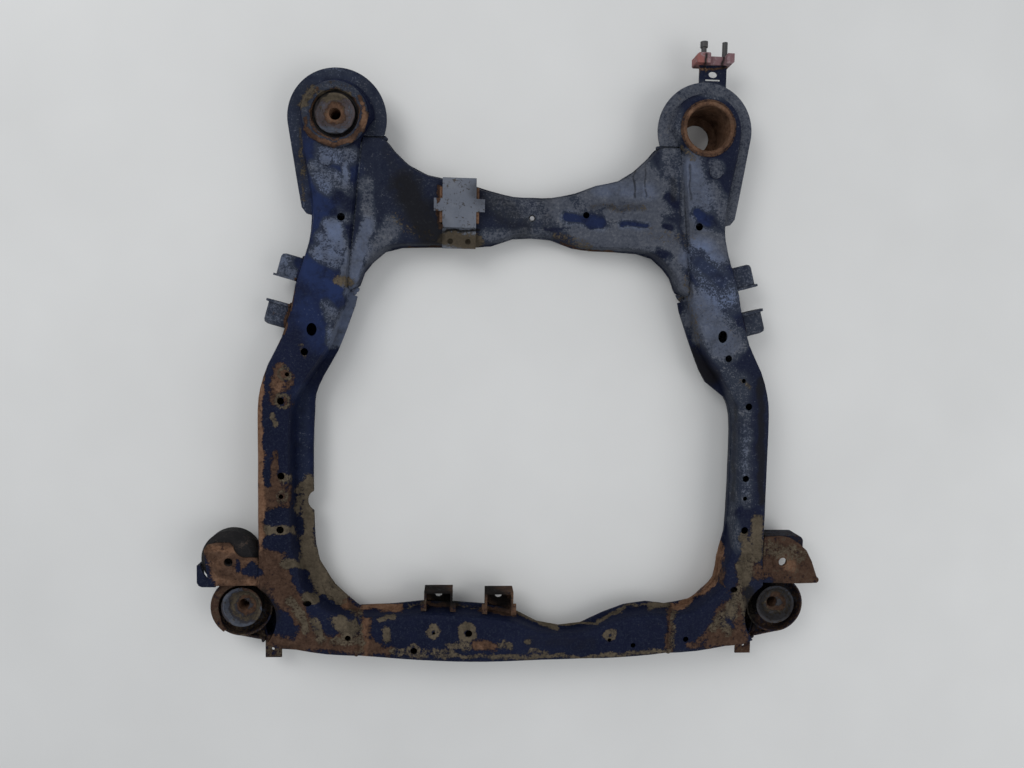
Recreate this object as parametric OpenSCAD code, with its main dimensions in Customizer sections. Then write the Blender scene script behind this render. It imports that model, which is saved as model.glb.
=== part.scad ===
// Pressed-steel perimeter subframe, lying on its four body-mount faces with its underside up.
// X runs across, Y towards the vehicle's rear, Z up from the floor. All sizes in millimetres.

/* [Layout] */
// Distance of each front body mount from the centre line
front_mount_x = 440; // [434:1:446]
// Front body mount along Y
front_mount_y = -413; // [-417:1:-409]
// Distance of each rear body mount from the centre line
rear_mount_x = 290; // [286:1:296]
// Rear body mount along Y
rear_mount_y = 362; // [356:1:368]
// Outer edge of the straight stretch of each rail
rail_x = 413; // [406:1:416]
// Outer edge to inner wall on the straight stretch
rail_w = 56; // [52:1:62]
// Where each front corner meets the front crossmember
joint_x = 255; // [245:1:262]
// Foremost edge of the front crossmember in front of the front body mounts
front_depth = 92; // [86:0.5:96]

/* [Sections] */
// Height of the rails' face
face_z = 74; // [70:1:80]
// Seam between lower and upper pressing
seam_z = 36; // [32:1:40]
// Lowest face of the upper pressings
back_z = 12; // [8:1:16]
// Sheet thickness of the pressings
sheet_t = 2.5; // [2:0.1:3]
// Bend radius along the rails' edges
edge_r = 7; // [5:0.5:9]
// Lean of the pressed walls
draft = 2; // [1:0.25:3]
// Seam lip on the outer edges
lip_w = 1.5; // [1:0.25:2.5]
// Seam flange along the inner edge behind the bend
flange_w = 14; // [10:1:18]
// Wide seam flange left on the left rail only
wide_flange_w = 29; // [20:1:32]
// Stub of the seam flange on the right rail
stub_flange_w = 1; // [1:0.5:4]
// Radius of the bite rusted out of the wide flange
bite_r = 18; // [14:1:22]
// Place of the bite along Y
bite_y = -242; // [-250:1:-234]
// Gap left between welded pieces
weld_gap = 0.2; // [0.1:0.05:0.4]

/* [Crossmembers] */
// Height of the rear crossmember at its waist
rear_cross_z = 42; // [38:1:48]
// Height of the rear crossmember where it meets the rails
rear_cross_end_z = 65; // [60:1:66]
// Seam of the rear crossmember
rear_seam_z = 25; // [22:1:28]
// Lowest face of the rear crossmember
rear_back_z = 6; // [4:1:10]
// Shift of the rear crossmember's waist off the centre line
waist_x = 18; // [0:1:25]
// Front edge of the rear crossmember at its waist, in front of the rear body mount
waist_front = 173; // [168:1:178]
// Depth of the rear crossmember at its waist
waist_d = 63; // [58:1:70]
// Height of the front crossmember
front_cross_z = 72; // [68:1:73]
// Drop of the front crossmember at its waist
front_dip = 7; // [4:1:10]

/* [Rear mounts] */
// Bore of the rear mount tube
tube_bore_d = 70; // [66:0.5:74]
// Wall of the rear mount tube
tube_wall = 6.5; // [5:0.5:8]
// Tube rim above the rail face
tube_rise = 3; // [1:0.5:5]
// Hole through the tube's foot
tube_foot_d = 46; // [38:1:50]
// Thickness of the tube's foot
tube_foot_t = 5; // [4:0.5:8]
// Radius of the pressing round the rear mount
mount_r = 58; // [54:1:62]
// Rim of the rear mount plate round the pressing
plate_rim = 18; // [14:1:22]
// Thickness of the rear mount plate
plate_t = 4; // [3:0.5:5]
// Top of the rear mount plate
plate_z = 56; // [52:1:60]
// Length of the rear mount plate in front of the mount
plate_len = 150; // [142:1:157]
// Width of the left bush ring
bush_ring_w = 13; // [10:0.5:16]
// Hole through the bush sleeves
sleeve_bore_d = 18; // [16:0.5:20]
// Wall of the bush sleeves
sleeve_wall = 4; // [3:0.5:5]
// Gap between the left rear dished disc and its tube
disc_gap = 4.5; // [3.5:0.25:7]

/* [Front mounts] */
// Radius of the front mount cup
cup_r = 48; // [45:0.5:50]
// Height of the cup floor
cup_floor_z = 24; // [21:1:27]
// Height of the cup rim
cup_rim_z = 48; // [44:1:52]
// Gap between the cup and the cut-out round it
cutout_gap = 12; // [11:0.5:16]
// Radius of the front bush washer
washer_r = 32; // [29:0.5:35]
// Height of the washer's rim
washer_rim_z = 52; // [48:1:55]
// Dish of the washer
washer_dish = 14; // [10:1:16]

/* [Corner ears] */
// Reach of the corner pieces beyond the rail
ear_reach = 93; // [89:1:99]
// Thickness of the ear plates
ear_t = 3; // [2.5:0.25:4]
// Top of the ear plates
ear_z = 67; // [63:0.5:68]
// Hole in each ear plate
ear_hole_d = 14; // [11:0.5:16]
// Ear hole behind the front body mount
ear_hole_back = 78; // [73:1:82]
// Radius of the left rubber buffer
buffer_r = 45; // [42:0.5:48]
// Height of the left rubber buffer
buffer_h = 36; // [30:1:42]

/* [Control-arm ears] */
// Centre of the arm pivot from the centre line
arm_x = 376; // [372:1:380]
// Centre of the arm pivot along Y
arm_y = 96; // [92:1:100]
// Height of the arm pivot
arm_z = 38; // [34:1:42]
// Slant of the arm pivot to Y
arm_slant = 15; // [10:1:18]
// Gap between the two ears of a pair
arm_gap = 38; // [34:1:44]
// Length of each pressed ear
arm_ear_len = 38; // [32:1:42]
// Radius of each pressed ear
arm_ear_r = 17; // [15:0.5:19]
// Lip round each ear's mouth
arm_lip = 4.5; // [3:0.5:6]
// Rounding of each ear's nose
arm_nose_r = 6; // [5:0.5:7]
// Pivot bolt hole
arm_hole_d = 13; // [11:0.5:15]
// Sheet of the ears and brackets
bracket_t = 3.5; // [3:0.25:4]

/* [Brackets] */
// Width of each front engine-mount channel
channel_w = 56; // [50:1:60]
// Depth of each channel along Y
channel_d = 26; // [20:1:30]
// Floor of each channel
channel_z = 29; // [24:1:32]
// Centre of the left channel
channel_a_x = -125; // [-130:1:-118]
// Centre of the right channel
channel_b_x = -26; // [-32:1:-20]
// Centre of the rear bracket
rear_bracket_x = -99.5; // [-104:0.5:-95]
// Front edge of the rear bracket's raised plate
rear_bracket_y = 199; // [196:1:203]
// Length of the rear bracket's raised plate
rear_bracket_len = 77; // [70:1:80]
// Length of the rear bracket's tab
rear_tab_len = 32; // [28:1:34]
// Body width of the rear bracket
rear_bracket_w = 53; // [48:1:58]
// Width over the rear bracket's side ears
rear_bracket_ears_w = 80; // [74:1:86]
// Height of the rear bracket
rear_bracket_z = 60; // [56:1:64]
// Spacing of the two holes in the rear bracket's tab
tab_hole_pitch = 28; // [24:1:32]
// Hole diameter in the rear bracket's tab
tab_hole_d = 9; // [7:0.5:10]
// Width of the hanger block
hanger_w = 60; // [54:1:66]
// Foremost face of the hanger block behind the rear mount plate
hanger_gap = 28; // [23:1:31]
// Diameter of the hanger pins
pin_d = 8.5; // [7:0.5:10]
// Hole in the front tabs
front_tab_hole_d = 5; // [4:0.5:6]

/* [Hidden] */
$fn = 64;
fit_gap = weld_gap;
lip_min = 0.6;
tube_od = tube_bore_d + 2 * tube_wall;
tube_top = face_z + tube_rise;
rail_in = rail_x - rail_w;
front_edge_y = front_mount_y - front_depth;
plate_r = mount_r + plate_rim;
plate_end_y = rear_mount_y - plate_len;
disc_d = tube_bore_d - 2 * disc_gap;
bush_ring_r = disc_d / 2 + 6 + bush_ring_w;
cutout_r = cup_r + cutout_gap;
half_w = rail_x + ear_reach;
ear_hole_x = ear(0.465);
right_ear_hole_x = ear(0.32);
ear_hole_y = front_mount_y + ear_hole_back;
hanger_y = rear_mount_y + plate_r + hanger_gap;
waist_y = rear_mount_y - waist_front;
arc3 = [[0, 1], [0.293, 0.293], [1, 0]];
arc2 = [[0, 1], [1, 0]];
// The pins reach as far back as the front crossmember reaches forward
pin_end_y = -min([for (q = smooth(bar(seam_z, face_z, 0), 2)) q[1]]);

// Point at a share of the corner pieces' reach
function ear(u) = rail_x + u * ear_reach;

// Smooth curve through a list of stations
function blend(a, b, c, d, u) =
    0.5 * (2 * b + (c - a) * u + (2 * a - 5 * b + 4 * c - d) * u * u + (3 * b - a - 3 * c + d) * u * u * u);
function smooth(s, n) = let (e = len(s) - 1)
    concat([for (i = [0 : e - 1]) for (k = [0 : n - 1])
        blend(s[max(i - 1, 0)], s[i], s[i + 1], s[min(i + 2, e)], k / n)], [s[e]]);

// One cross-section of a pressed channel: first edge, wall foot, flange, seam height, face height
function section(s, arc, down) = let (
    a = [s[0], s[1]],
    run = [s[2], s[3]] - a,
    w = norm(run),
    d = run / w,
    f = max(s[4], lip_min),
    q = down ? -1 : 1,
    zb = s[5],
    zt = s[6],
    t = sheet_t,
    r = edge_r,
    k = len(arc),
    o = lip_w + draft,
    loop = concat(
        [[0, zb], [0, zb + q * t], [lip_w, zb + q * t]],
        [for (i = [0 : k - 1]) [o + arc[i][0] * r, zt - q * arc[i][1] * r]],
        [for (i = [k - 1 : -1 : 0]) [w - draft - arc[i][0] * r, zt - q * arc[i][1] * r]],
        [[w, zb + q * t], [w + f, zb + q * t], [w + f, zb], [w - t, zb]],
        [for (i = [0 : k - 1])
            [w - draft - t - arc[i][0] * (r - t), zt - q * (t + arc[i][1] * (r - t))]],
        [for (i = [k - 1 : -1 : 0])
            [o + t + arc[i][0] * (r - t), zt - q * (t + arc[i][1] * (r - t))]],
        [[lip_w + t, zb]]))
    [for (p = loop) [a.x + d.x * p[0], a.y + d.y * p[0], p[1]]];

function turn(f, back) = back ? [for (i = [len(f) - 1 : -1 : 0]) f[i]] : f;

// Sheet-metal channel swept through the stations, open at both ends
module channel(stations, arc, down) {
    k = len(arc);
    m = 4 * k + 8;
    n = len(stations);
    points = [for (s = stations) each section(s, arc, down)];
    walls = [for (i = [0 : n - 2]) for (j = [0 : m - 1]) let (
        a = i * m + j,
        b = i * m + (j + 1) % m,
        c = b + m,
        e = a + m) each [[a, b, c], [a, c, e]]];
    cap = concat([[0, 1, 2, m - 1]],
        [for (o = [2 : 2 * k + 2]) [o, o + 1, m - o, m + 1 - o]],
        [[2 * k + 3, 2 * k + 4, 2 * k + 5, 2 * k + 6]]);
    caps = concat([for (f = cap) turn(f, true)], [for (f = cap) [for (v = f) v + (n - 1) * m]]);
    polyhedron(points = points, faces = [for (f = concat(walls, caps)) turn(f, down)], convexity = 8);
}

// Profile of the round end of a rail, the same section turned about the mount axis
module end_profile(zb, zt, arc, down) {
    q = down ? -1 : 1;
    k = len(arc);
    o = mount_r - lip_w - draft;
    core = tube_bore_d / 2;
    polygon(concat(
        [[mount_r, zb], [mount_r, zb + q * sheet_t], [mount_r - lip_w, zb + q * sheet_t]],
        [for (i = [0 : k - 1]) [o - arc[i][0] * edge_r, zt - q * arc[i][1] * edge_r]],
        [[core, zt], [core, zt - q * sheet_t]],
        [for (i = [k - 1 : -1 : 0]) [o - sheet_t - arc[i][0] * (edge_r - sheet_t),
            zt - q * (sheet_t + arc[i][1] * (edge_r - sheet_t))]],
        [[mount_r - lip_w - sheet_t, zb]]));
}

// Stations of a rail from the front joint round the corner to the rear mount
function rail(fl, s0, s1, zt) = [
    [joint_x, front_edge_y + 13, joint_x, front_mount_y - 9, fl[0], s0, zt],
    [joint_x + 47, front_edge_y + 16, joint_x + 41, front_mount_y - 1, fl[1], s0, zt],
    [joint_x + 97, front_edge_y + 24.5, joint_x + 66, front_mount_y + 19, fl[2], s0, zt],
    [rail_x - 8, front_mount_y - 55, rail_in - 17, front_mount_y + 40, fl[3], s0, zt],
    [rail_x + 1, front_mount_y + 18, rail_in - 12, front_mount_y + 73, fl[4], s0, zt],
    [rail_x - 1, front_mount_y + 83, rail_in - 4, front_mount_y + 101, fl[5], s0, zt],
    [rail_x, -260, rail_in, -262, fl[6], s0, zt],
    [rail_x, -155, rail_in + 1, -155, fl[7], s0, zt],
    [rail_x, -92, rail_in - 1, -95, fl[8], s0, zt],
    [rail_x - 4, -58, rail_in - 11, -66, fl[9], s0, zt],
    [rail_x - 16, -20, rail_in - 29, -36, fl[10], s0, zt],
    [rail_x - 37, 22, rail_in - 56, 5, fl[11], s0, zt],
    [rail_x - 51.5, 70, rail_in - 74, 56, fl[12], s0, zt],
    [rail_x - 57, horn_front.y + 2, horn_front.x + 2, horn_front.y - 6, fl[13], s0, zt],
    [horn_front.x + 81.5, horn_front.y + 13, horn_front.x, horn_front.y, lip_min, s0, zt],
    [horn_front.x + 63, plate_end_y - 44, horn(0.23).x, horn(0.23).y, lip_min, (s0 + s1) / 2, zt],
    [horn_front.x + 56, plate_end_y - 5, horn(0.42).x, horn(0.42).y, lip_min, s1, zt],
    [horn_front.x + 59, plate_end_y + 38, horn(0.62).x, horn(0.62).y, lip_min, s1, zt],
    [rear_mount_x + mount_r - 8, rear_mount_y - 62, horn(0.83).x, horn(0.83).y, lip_min, s1, zt],
    [rear_mount_x + mount_r - 1.5, rear_mount_y - 27, horn_rear.x, horn_rear.y, lip_min, s1, zt],
    [rear_mount_x + mount_r, rear_mount_y, rear_mount_x - mount_r + lip_w, rear_mount_y, lip_w, s1, zt]];

// Straight line where the rear crossmember's spread end meets the rail
horn_front = [rear_mount_x - 18, rear_mount_y - 266];
horn_rear = [rear_mount_x - 40, rear_mount_y - 27];
function horn(u) = horn_front + u * (horn_rear - horn_front);

// Share of the straight line that lies at a place along Y
function horn_share(y) = (y - horn_front.y) / (horn_rear.y - horn_front.y);

left_flange = [6, 1.12 * wide_flange_w, 1.31 * wide_flange_w, 1.31 * wide_flange_w, 0.97 * wide_flange_w,
    0.97 * wide_flange_w, wide_flange_w, wide_flange_w, wide_flange_w, 1.5 * flange_w, flange_w + 1,
    0.8 * flange_w, 0.9 * flange_w, flange_w];
right_flange = [6, 6, 3, 3, 5, 6, stub_flange_w, stub_flange_w, stub_flange_w, stub_flange_w,
    1.25 * flange_w, 0.8 * flange_w, 0.9 * flange_w, flange_w];

// Bite rusted out of both pressings' wide flange
module flange_bite() {
    translate([rail_in - wide_flange_w - 0.45 * bite_r, bite_y, seam_z - 10]) cylinder(r = bite_r, h = 20, $fn = 24);
}

// Curve of a rail with its seam kept between the two seam heights
function rail_curve(fl, s0, s1, zt) = [for (q = smooth(rail(fl, s0, s1, zt), 2))
    [q[0], q[1], q[2], q[3], q[4], max(s0, min(s1, q[5])), q[6]]];

lower_seam = seam_z + fit_gap / 2;
upper_seam = seam_z - fit_gap / 2;
lower_rear_seam = plate_z + fit_gap;
upper_rear_seam = plate_z - plate_t - fit_gap;

// Prism filled by the rail at its outer seam edge, used to trim what is welded beside it
module rail_body(g) {
    s = rail_curve(right_flange, seam_z, plate_z, face_z);
    n = len(s) - 1;
    outer = [for (i = [0 : n]) let (d = [s[i][0] - s[i][2], s[i][1] - s[i][3]])
        [s[i][0], s[i][1]] + g * d / norm(d)];
    inner = [for (i = [n : -1 : 0]) [s[i][2], s[i][3]]];
    translate([0, 0, -1])
        linear_extrude(face_z + 20)
            polygon(concat(outer, inner));
}

module at_mount(x, y) translate([x, y, -1]) children();

module slot(x, y, w, h) {
    translate([x, y, seam_z + 12])
        scale([w / h, 1, 1])
            cylinder(d = h, h = face_z);
}

module drill(x, y, d) translate([x, y, seam_z + 12]) cylinder(d = d, h = face_z, $fn = 32);

// Holes in both rails' faces
module rail_holes() {
    drill(281, 208.5, 12);
    slot(325.5, 35, 15.5, 20);
    drill(336.5, 0, 11.5);
    drill(rail_x - 50, -35.5, 7);
    drill(rail_x - 40, -77.5, 11.2);
    drill(rail_x - 40.5, -195.5, 11.2);
    drill(rail_x - 40.5, -228, 7.5);
    drill(rail_x - 39, -281, 12);
}

module rail_lower(fl) {
    difference() {
        union() {
            channel(rail_curve(fl, lower_seam, lower_rear_seam, face_z), arc3, false);
            translate([rear_mount_x, rear_mount_y, 0])
                rotate_extrude(angle = 180)
                    end_profile(lower_rear_seam, face_z, arc3, false);
        }
        at_mount(rear_mount_x, rear_mount_y) cylinder(d = tube_od + 2 * fit_gap, h = face_z + 2);
        at_mount(front_mount_x, front_mount_y - 12) cylinder(r = cutout_r, h = face_z + 2);
        rail_holes();
        children();
    }
}

module rail_upper(fl) {
    difference() {
        union() {
            channel(rail_curve(fl, upper_seam, upper_rear_seam, back_z), arc2, true);
            translate([rear_mount_x, rear_mount_y, 0])
                rotate_extrude(angle = 180)
                    end_profile(upper_rear_seam, back_z, arc2, true);
        }
        at_mount(rear_mount_x, rear_mount_y) cylinder(d = tube_od + 2 * fit_gap, h = face_z + 2);
        at_mount(front_mount_x, front_mount_y) cylinder(r = cup_r + fit_gap, h = face_z + 2);
        children();
    }
}

module left_rail_lower() {
    color([0.12, 0.15, 0.25])
        mirror([1, 0, 0])
            rail_lower(left_flange) {
                union() {
                    slot(rail_in - 25, front_mount_y + 13, 13.5, 9.5);
                    drill(joint_x + 13, front_mount_y - 44, 9.5);
                    flange_bite();
                }
            }
}

module right_rail_lower() {
    color([0.12, 0.15, 0.25])
        rail_lower(right_flange) {
            union() {
                slot(rail_in + 3, front_mount_y + 33, 12.5, 10);
                drill(joint_x + 27, front_mount_y - 50, 9.5);
            }
        }
}

module left_rail_upper() {
    color([0.13, 0.15, 0.23])
        mirror([1, 0, 0])
            rail_upper(left_flange) flange_bite();
}

module right_rail_upper() {
    color([0.13, 0.15, 0.23])
        rail_upper(right_flange);
}

// Half of the rear crossmember, from its waist to the rail
function cross_half(side, zb, z0, z1) = let (
    h0 = horn_front.x - lip_min - 2 * fit_gap,
    h1 = horn_rear.x - lip_min - 2 * fit_gap,
    y0 = horn_front.y + 1,
    y1 = horn_rear.y + 1,
    back = waist_y + waist_d,
    at = function (u, v, p, q, k, f) [side * u * h0 + k * waist_x, waist_y + v * (y0 - waist_y),
        side * p * h1 + k * waist_x, back + q * (y1 - back), f, zb, z0])
    [for (r = [[at(0.115, 0.024, 0.124, 0.006, 1, 2), 0.01],
        [at(0.244, 0.158, 0.28, 0.107, 1, 2), 0.08],
        [at(0.385, 0.196, 0.44, 0.26, 0.6, 2), 0.2],
        [at(0.548, 0.204, 0.615, 0.365, 0.2, 2), 0.38],
        [at(0.704, 0.225, 0.731, 0.554, 0, 2), 0.58],
        [at(0.8, 0.304, 0.823, 0.81, 0, 2), 0.74],
        [at(0.871, 0.484, 0.871, 0.976, 0, 2), 0.88],
        [at(0.922, 0.675, 0.932, 1, 0, 2), 0.94],
        [at(0.95, 0.902, 0.968, 1, 0, 2), 0.97],
        [at(1, 1, 1, 1, 0, lip_min), 1]])
        [for (i = [0 : 6]) i == 6 ? z0 + r[1] * (z1 - z0) : r[0][i]]];

function cross(zb, z0, z1) = concat(
    turn(cross_half(-1, zb, z0, z1), true),
    [[waist_x, waist_y, waist_x, waist_y + waist_d, 2, zb, z0]],
    cross_half(1, zb, z0, z1));

// Height of the rear crossmember's face along its front edge, where it climbs soonest
function cross_face(x) = lookup(x, [for (q = smooth(cross(rear_seam_z, rear_cross_z, rear_cross_end_z), 2))
    [q[0], q[6]]]);

module rear_cross_lower() {
    color([0.13, 0.15, 0.22])
        difference() {
            channel(smooth(cross(rear_seam_z + fit_gap / 2, rear_cross_z, rear_cross_end_z), 2), arc3, false);
            translate([waist_x - 1, waist_y + 30, rear_seam_z]) cylinder(d = 11, h = face_z, $fn = 32);
            translate([waist_x + 86, waist_y + 37, rear_seam_z]) cylinder(d = 10.6, h = face_z, $fn = 32);
        }
}

module rear_cross_upper() {
    color([0.13, 0.15, 0.22])
        channel(smooth(cross(rear_seam_z - fit_gap / 2, rear_back_z, rear_back_z + 4), 1), arc2, true);
}

// Stations of the front crossmember from the left joint to the right joint
function bar(zb, zt, dip) = let (
    e = front_edge_y,
    i = front_mount_y - 9,
    x = joint_x - fit_gap)
    [[-x, e + 13, -x, i, 6, zb, zt],
    [-200, e + 8, -200, i, 8, zb, zt],
    [-150, e + 4, -150, i + 5, 8, zb, zt],
    [-98, e + 1, -98, i + 3, 8, zb, zt],
    [-48, e, -48, i - 1, 8, zb, zt],
    [0, e, 0, i - 10, 7, zb, zt - 0.3 * dip],
    [38, e, 38, i - 28, 5, zb, zt - 0.8 * dip],
    [75, e, 75, i - 34, 4, zb, zt - dip],
    [112, e + 1.5, 112, i - 31, 5, zb, zt - 0.9 * dip],
    [148, e + 3, 148, i - 16, 7, zb, zt - 0.5 * dip],
    [185, e + 6, 185, i - 3, 8, zb, zt - 0.1 * dip],
    [222, e + 9, 222, i + 2, 8, zb, zt],
    [x, e + 13, x, i, 6, zb, zt]];

module front_cross_lower() {
    color([0.13, 0.15, 0.22])
        difference() {
            channel(smooth(bar(lower_seam, front_cross_z, front_dip), 2), arc3, false);
            drill(-163, front_edge_y + 25.5, 11.2);
            drill(-131, front_edge_y + 54.5, 5);
            drill(-75, front_edge_y + 53.5, 12);
            drill(156, front_edge_y + 39.5, 6);
            drill(195, front_edge_y + 31.5, 8);
        }
}

module front_cross_upper() {
    color([0.13, 0.15, 0.22])
        channel(smooth(bar(upper_seam, back_z, 0), 1), arc2, true);
}

// Round-topped plate between the pressings at a rear mount, notched for the crossmember's end
module mount_plate() {
    x = rear_mount_x;
    y = rear_mount_y;
    g = fit_gap;
    notch_y = horn_rear.y + 1 + 2 * g;
    translate([0, 0, plate_z - plate_t])
        difference() {
            union() {
                translate([x, y, 0]) cylinder(r = plate_r, h = plate_t, $fn = 96);
                linear_extrude(plate_t)
                    polygon([[x + plate_r - 1, y - 12], [x + mount_r + 1, plate_end_y + 40],
                        [x + mount_r - 4, plate_end_y + 12], [x + mount_r - 11, plate_end_y + 3],
                        [x + mount_r - 22, plate_end_y], [horn(horn_share(plate_end_y)).x, plate_end_y],
                        [horn_rear.x, notch_y], [x, y]]);
            }
            translate([0, 0, -1])
                linear_extrude(plate_t + 2)
                    polygon([[horn_rear.x, notch_y], [x - 2 * plate_r, notch_y], [x - 2 * plate_r, plate_end_y - 1],
                        [horn(horn_share(plate_end_y)).x, plate_end_y - 1]]);
            translate([x, y, -1]) cylinder(d = tube_od + 2 * g, h = plate_t + 2);
        }
}

module left_rear_plate() {
    color([0.1, 0.11, 0.16])
        mirror([1, 0, 0])
            mount_plate();
}

module right_rear_plate() {
    color([0.1, 0.11, 0.16])
        mount_plate();
}

// Tube with a turned-in foot, standing on the floor
module mount_tube() {
    translate([rear_mount_x, rear_mount_y, 0])
        rotate_extrude($fn = 96)
            polygon([[tube_foot_d / 2, 0], [tube_od / 2 - 2, 0], [tube_od / 2, 2], [tube_od / 2, tube_top - 1.5],
                [tube_od / 2 - 1.5, tube_top], [tube_bore_d / 2 + 1.5, tube_top], [tube_bore_d / 2, tube_top - 1.5],
                [tube_bore_d / 2, tube_foot_t], [tube_foot_d / 2, tube_foot_t]]);
}

module left_rear_tube() {
    color([0.35, 0.2, 0.12])
        mirror([1, 0, 0])
            mount_tube();
}

module right_rear_tube() {
    color([0.38, 0.21, 0.12])
        mount_tube();
}

module left_bush_ring() {
    color([0.42, 0.24, 0.14])
        translate([-rear_mount_x, rear_mount_y, tube_top + fit_gap])
            rotate_extrude($fn = 96)
                polygon([[disc_d / 2 + 6, 0], [bush_ring_r, 0], [bush_ring_r, 2.5],
                    [bush_ring_r - 2, 4], [disc_d / 2 + 9, 5], [disc_d / 2 + 6, 4]]);
}

module left_bush_rubber() {
    color([0.05, 0.05, 0.055])
        translate([-rear_mount_x, rear_mount_y, 0])
            rotate_extrude($fn = 96)
                polygon([[sleeve_bore_d / 2 + sleeve_wall + fit_gap, tube_foot_t + fit_gap],
                    [tube_bore_d / 2 - fit_gap, tube_foot_t + fit_gap], [tube_bore_d / 2 - fit_gap, tube_top - 3],
                    [disc_d / 2 + 2, tube_top - 3], [disc_d / 2 + 1, tube_top - 6],
                    [sleeve_bore_d / 2 + sleeve_wall + fit_gap, tube_top - 6]]);
}

module left_bush_disc() {
    z = tube_top - 6 + fit_gap;
    color([0.3, 0.24, 0.2])
        translate([-rear_mount_x, rear_mount_y, z])
            rotate_extrude($fn = 96)
                polygon([[sleeve_bore_d / 2, 4], [sleeve_bore_d / 2, 7], [18, 7.5], [23, 6], [disc_d / 2 - 3, 10],
                    [disc_d / 2, 10.5], [disc_d / 2, 7.5], [disc_d / 2 - 3, 7], [24, 3], [24, 0], [16, 0], [16, 4]]);
}

module left_bush_sleeve() {
    color([0.4, 0.25, 0.16])
        translate([-rear_mount_x, rear_mount_y, 1])
            difference() {
                cylinder(d = sleeve_bore_d + 2 * sleeve_wall, h = tube_top - 3 - 1 + fit_gap / 2);
                translate([0, 0, -1]) cylinder(d = sleeve_bore_d, h = tube_top);
            }
}

// Pressed cup that carries a front bush, its front wall carried on to the rail's corner
module mount_cup() {
    tail = [rail_x - 15 - front_mount_x, front_edge_y + 35 - front_mount_y];
    a = atan2(tail.y, tail.x) + acos(cup_r / norm(tail));
    foot = (cup_r - 0.5) * [cos(a), sin(a)];
    inner = (cup_r - 0.5 - sheet_t) * [cos(a), sin(a)];
    z = seam_z + fit_gap;
    union() {
        translate([front_mount_x, front_mount_y, 0])
            rotate_extrude($fn = 96)
                polygon([[27, cup_floor_z], [cup_r - 6, cup_floor_z], [cup_r - 2, cup_floor_z + 2],
                    [cup_r, cup_floor_z + 6], [cup_r, cup_rim_z], [cup_r - sheet_t, cup_rim_z],
                    [cup_r - sheet_t, cup_floor_z + 7], [cup_r - 4, cup_floor_z + 4],
                    [cup_r - 7, cup_floor_z + sheet_t], [27, cup_floor_z + sheet_t]]);
        difference() {
            translate([front_mount_x, front_mount_y, z])
                union() {
                    linear_extrude(cup_rim_z - z) polygon([foot, tail, tail + inner - foot, inner]);
                    linear_extrude(sheet_t) polygon([foot, tail, cup_r * [cos(210), sin(210)]]);
                }
            at_mount(front_mount_x, front_mount_y) cylinder(r = cup_r - sheet_t / 2, h = 100);
            rail_body(fit_gap);
        }
    }
}

module left_front_cup() {
    color([0.3, 0.2, 0.14])
        mirror([1, 0, 0])
            mount_cup();
}

module right_front_cup() {
    color([0.22, 0.18, 0.15])
        mount_cup();
}

module front_rubber() {
    w = sleeve_bore_d / 2 + sleeve_wall + fit_gap;
    top = cup_floor_z + sheet_t + fit_gap;
    translate([front_mount_x, front_mount_y, 0])
        rotate_extrude($fn = 64)
            polygon([[w, 4], [34, 4], [38, 8], [38, cup_floor_z - fit_gap - 3], [35, cup_floor_z - fit_gap],
                [26, cup_floor_z - fit_gap], [26, top], [washer_r - 3, top], [washer_r - 2, top + 3],
                [washer_r - 5, washer_rim_z - washer_dish - 4], [w, washer_rim_z - washer_dish - 4]]);
}

module left_front_rubber() {
    color([0.05, 0.05, 0.055])
        mirror([1, 0, 0])
            front_rubber();
}

module right_front_rubber() {
    color([0.05, 0.05, 0.055])
        front_rubber();
}

// Dished rebound washer over a front bush
module front_washer() {
    z0 = washer_rim_z - washer_dish;
    translate([front_mount_x, front_mount_y, 0])
        rotate_extrude($fn = 96)
            polygon([[sleeve_bore_d / 2, z0 - 3], [17, z0 - 3], [20, z0 - 2], [washer_r - 3, washer_rim_z - 4],
                [washer_r, washer_rim_z - 2.5], [washer_r, washer_rim_z], [washer_r - 4, washer_rim_z - 0.5],
                [19, z0 + 1], [16, z0], [sleeve_bore_d / 2, z0]]);
}

module left_front_washer() {
    color([0.42, 0.4, 0.36])
        mirror([1, 0, 0])
            front_washer();
}

module right_front_washer() {
    color([0.36, 0.34, 0.31])
        front_washer();
}

module front_sleeve() {
    translate([front_mount_x, front_mount_y, 0])
        difference() {
            cylinder(d = sleeve_bore_d + 2 * sleeve_wall, h = washer_rim_z - washer_dish - 3 - fit_gap);
            translate([0, 0, -1]) cylinder(d = sleeve_bore_d, h = washer_rim_z);
        }
}

module left_front_sleeve() {
    color([0.4, 0.25, 0.16])
        mirror([1, 0, 0])
            front_sleeve();
}

module right_front_sleeve() {
    color([0.4, 0.25, 0.16])
        front_sleeve();
}

// Left ear plate with its concave root
module left_corner_ear() {
    y = ear_hole_y;
    color([0.4, 0.27, 0.16])
        mirror([1, 0, 0])
            difference() {
                translate([0, 0, ear_z - ear_t])
                    linear_extrude(ear_t)
                        difference() {
                            polygon([[rail_x - 10, y - 37], [rail_x - 10, y + 6], [ear(0.18), y + 8], [ear(0.45), y + 31],
                                [ear(0.67), y + 31], [ear(0.81), y + 28], [ear(0.87), y + 20], [ear(0.8), y - 35],
                                [ear(0.74), y - 38]]);
                            translate([ear(0.17), y + 27]) circle(r = 20);
                            translate([ear_hole_x, y]) circle(d = ear_hole_d, $fn = 32);
                        }
                rail_body(fit_gap - lip_w);
            }
}

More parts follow.
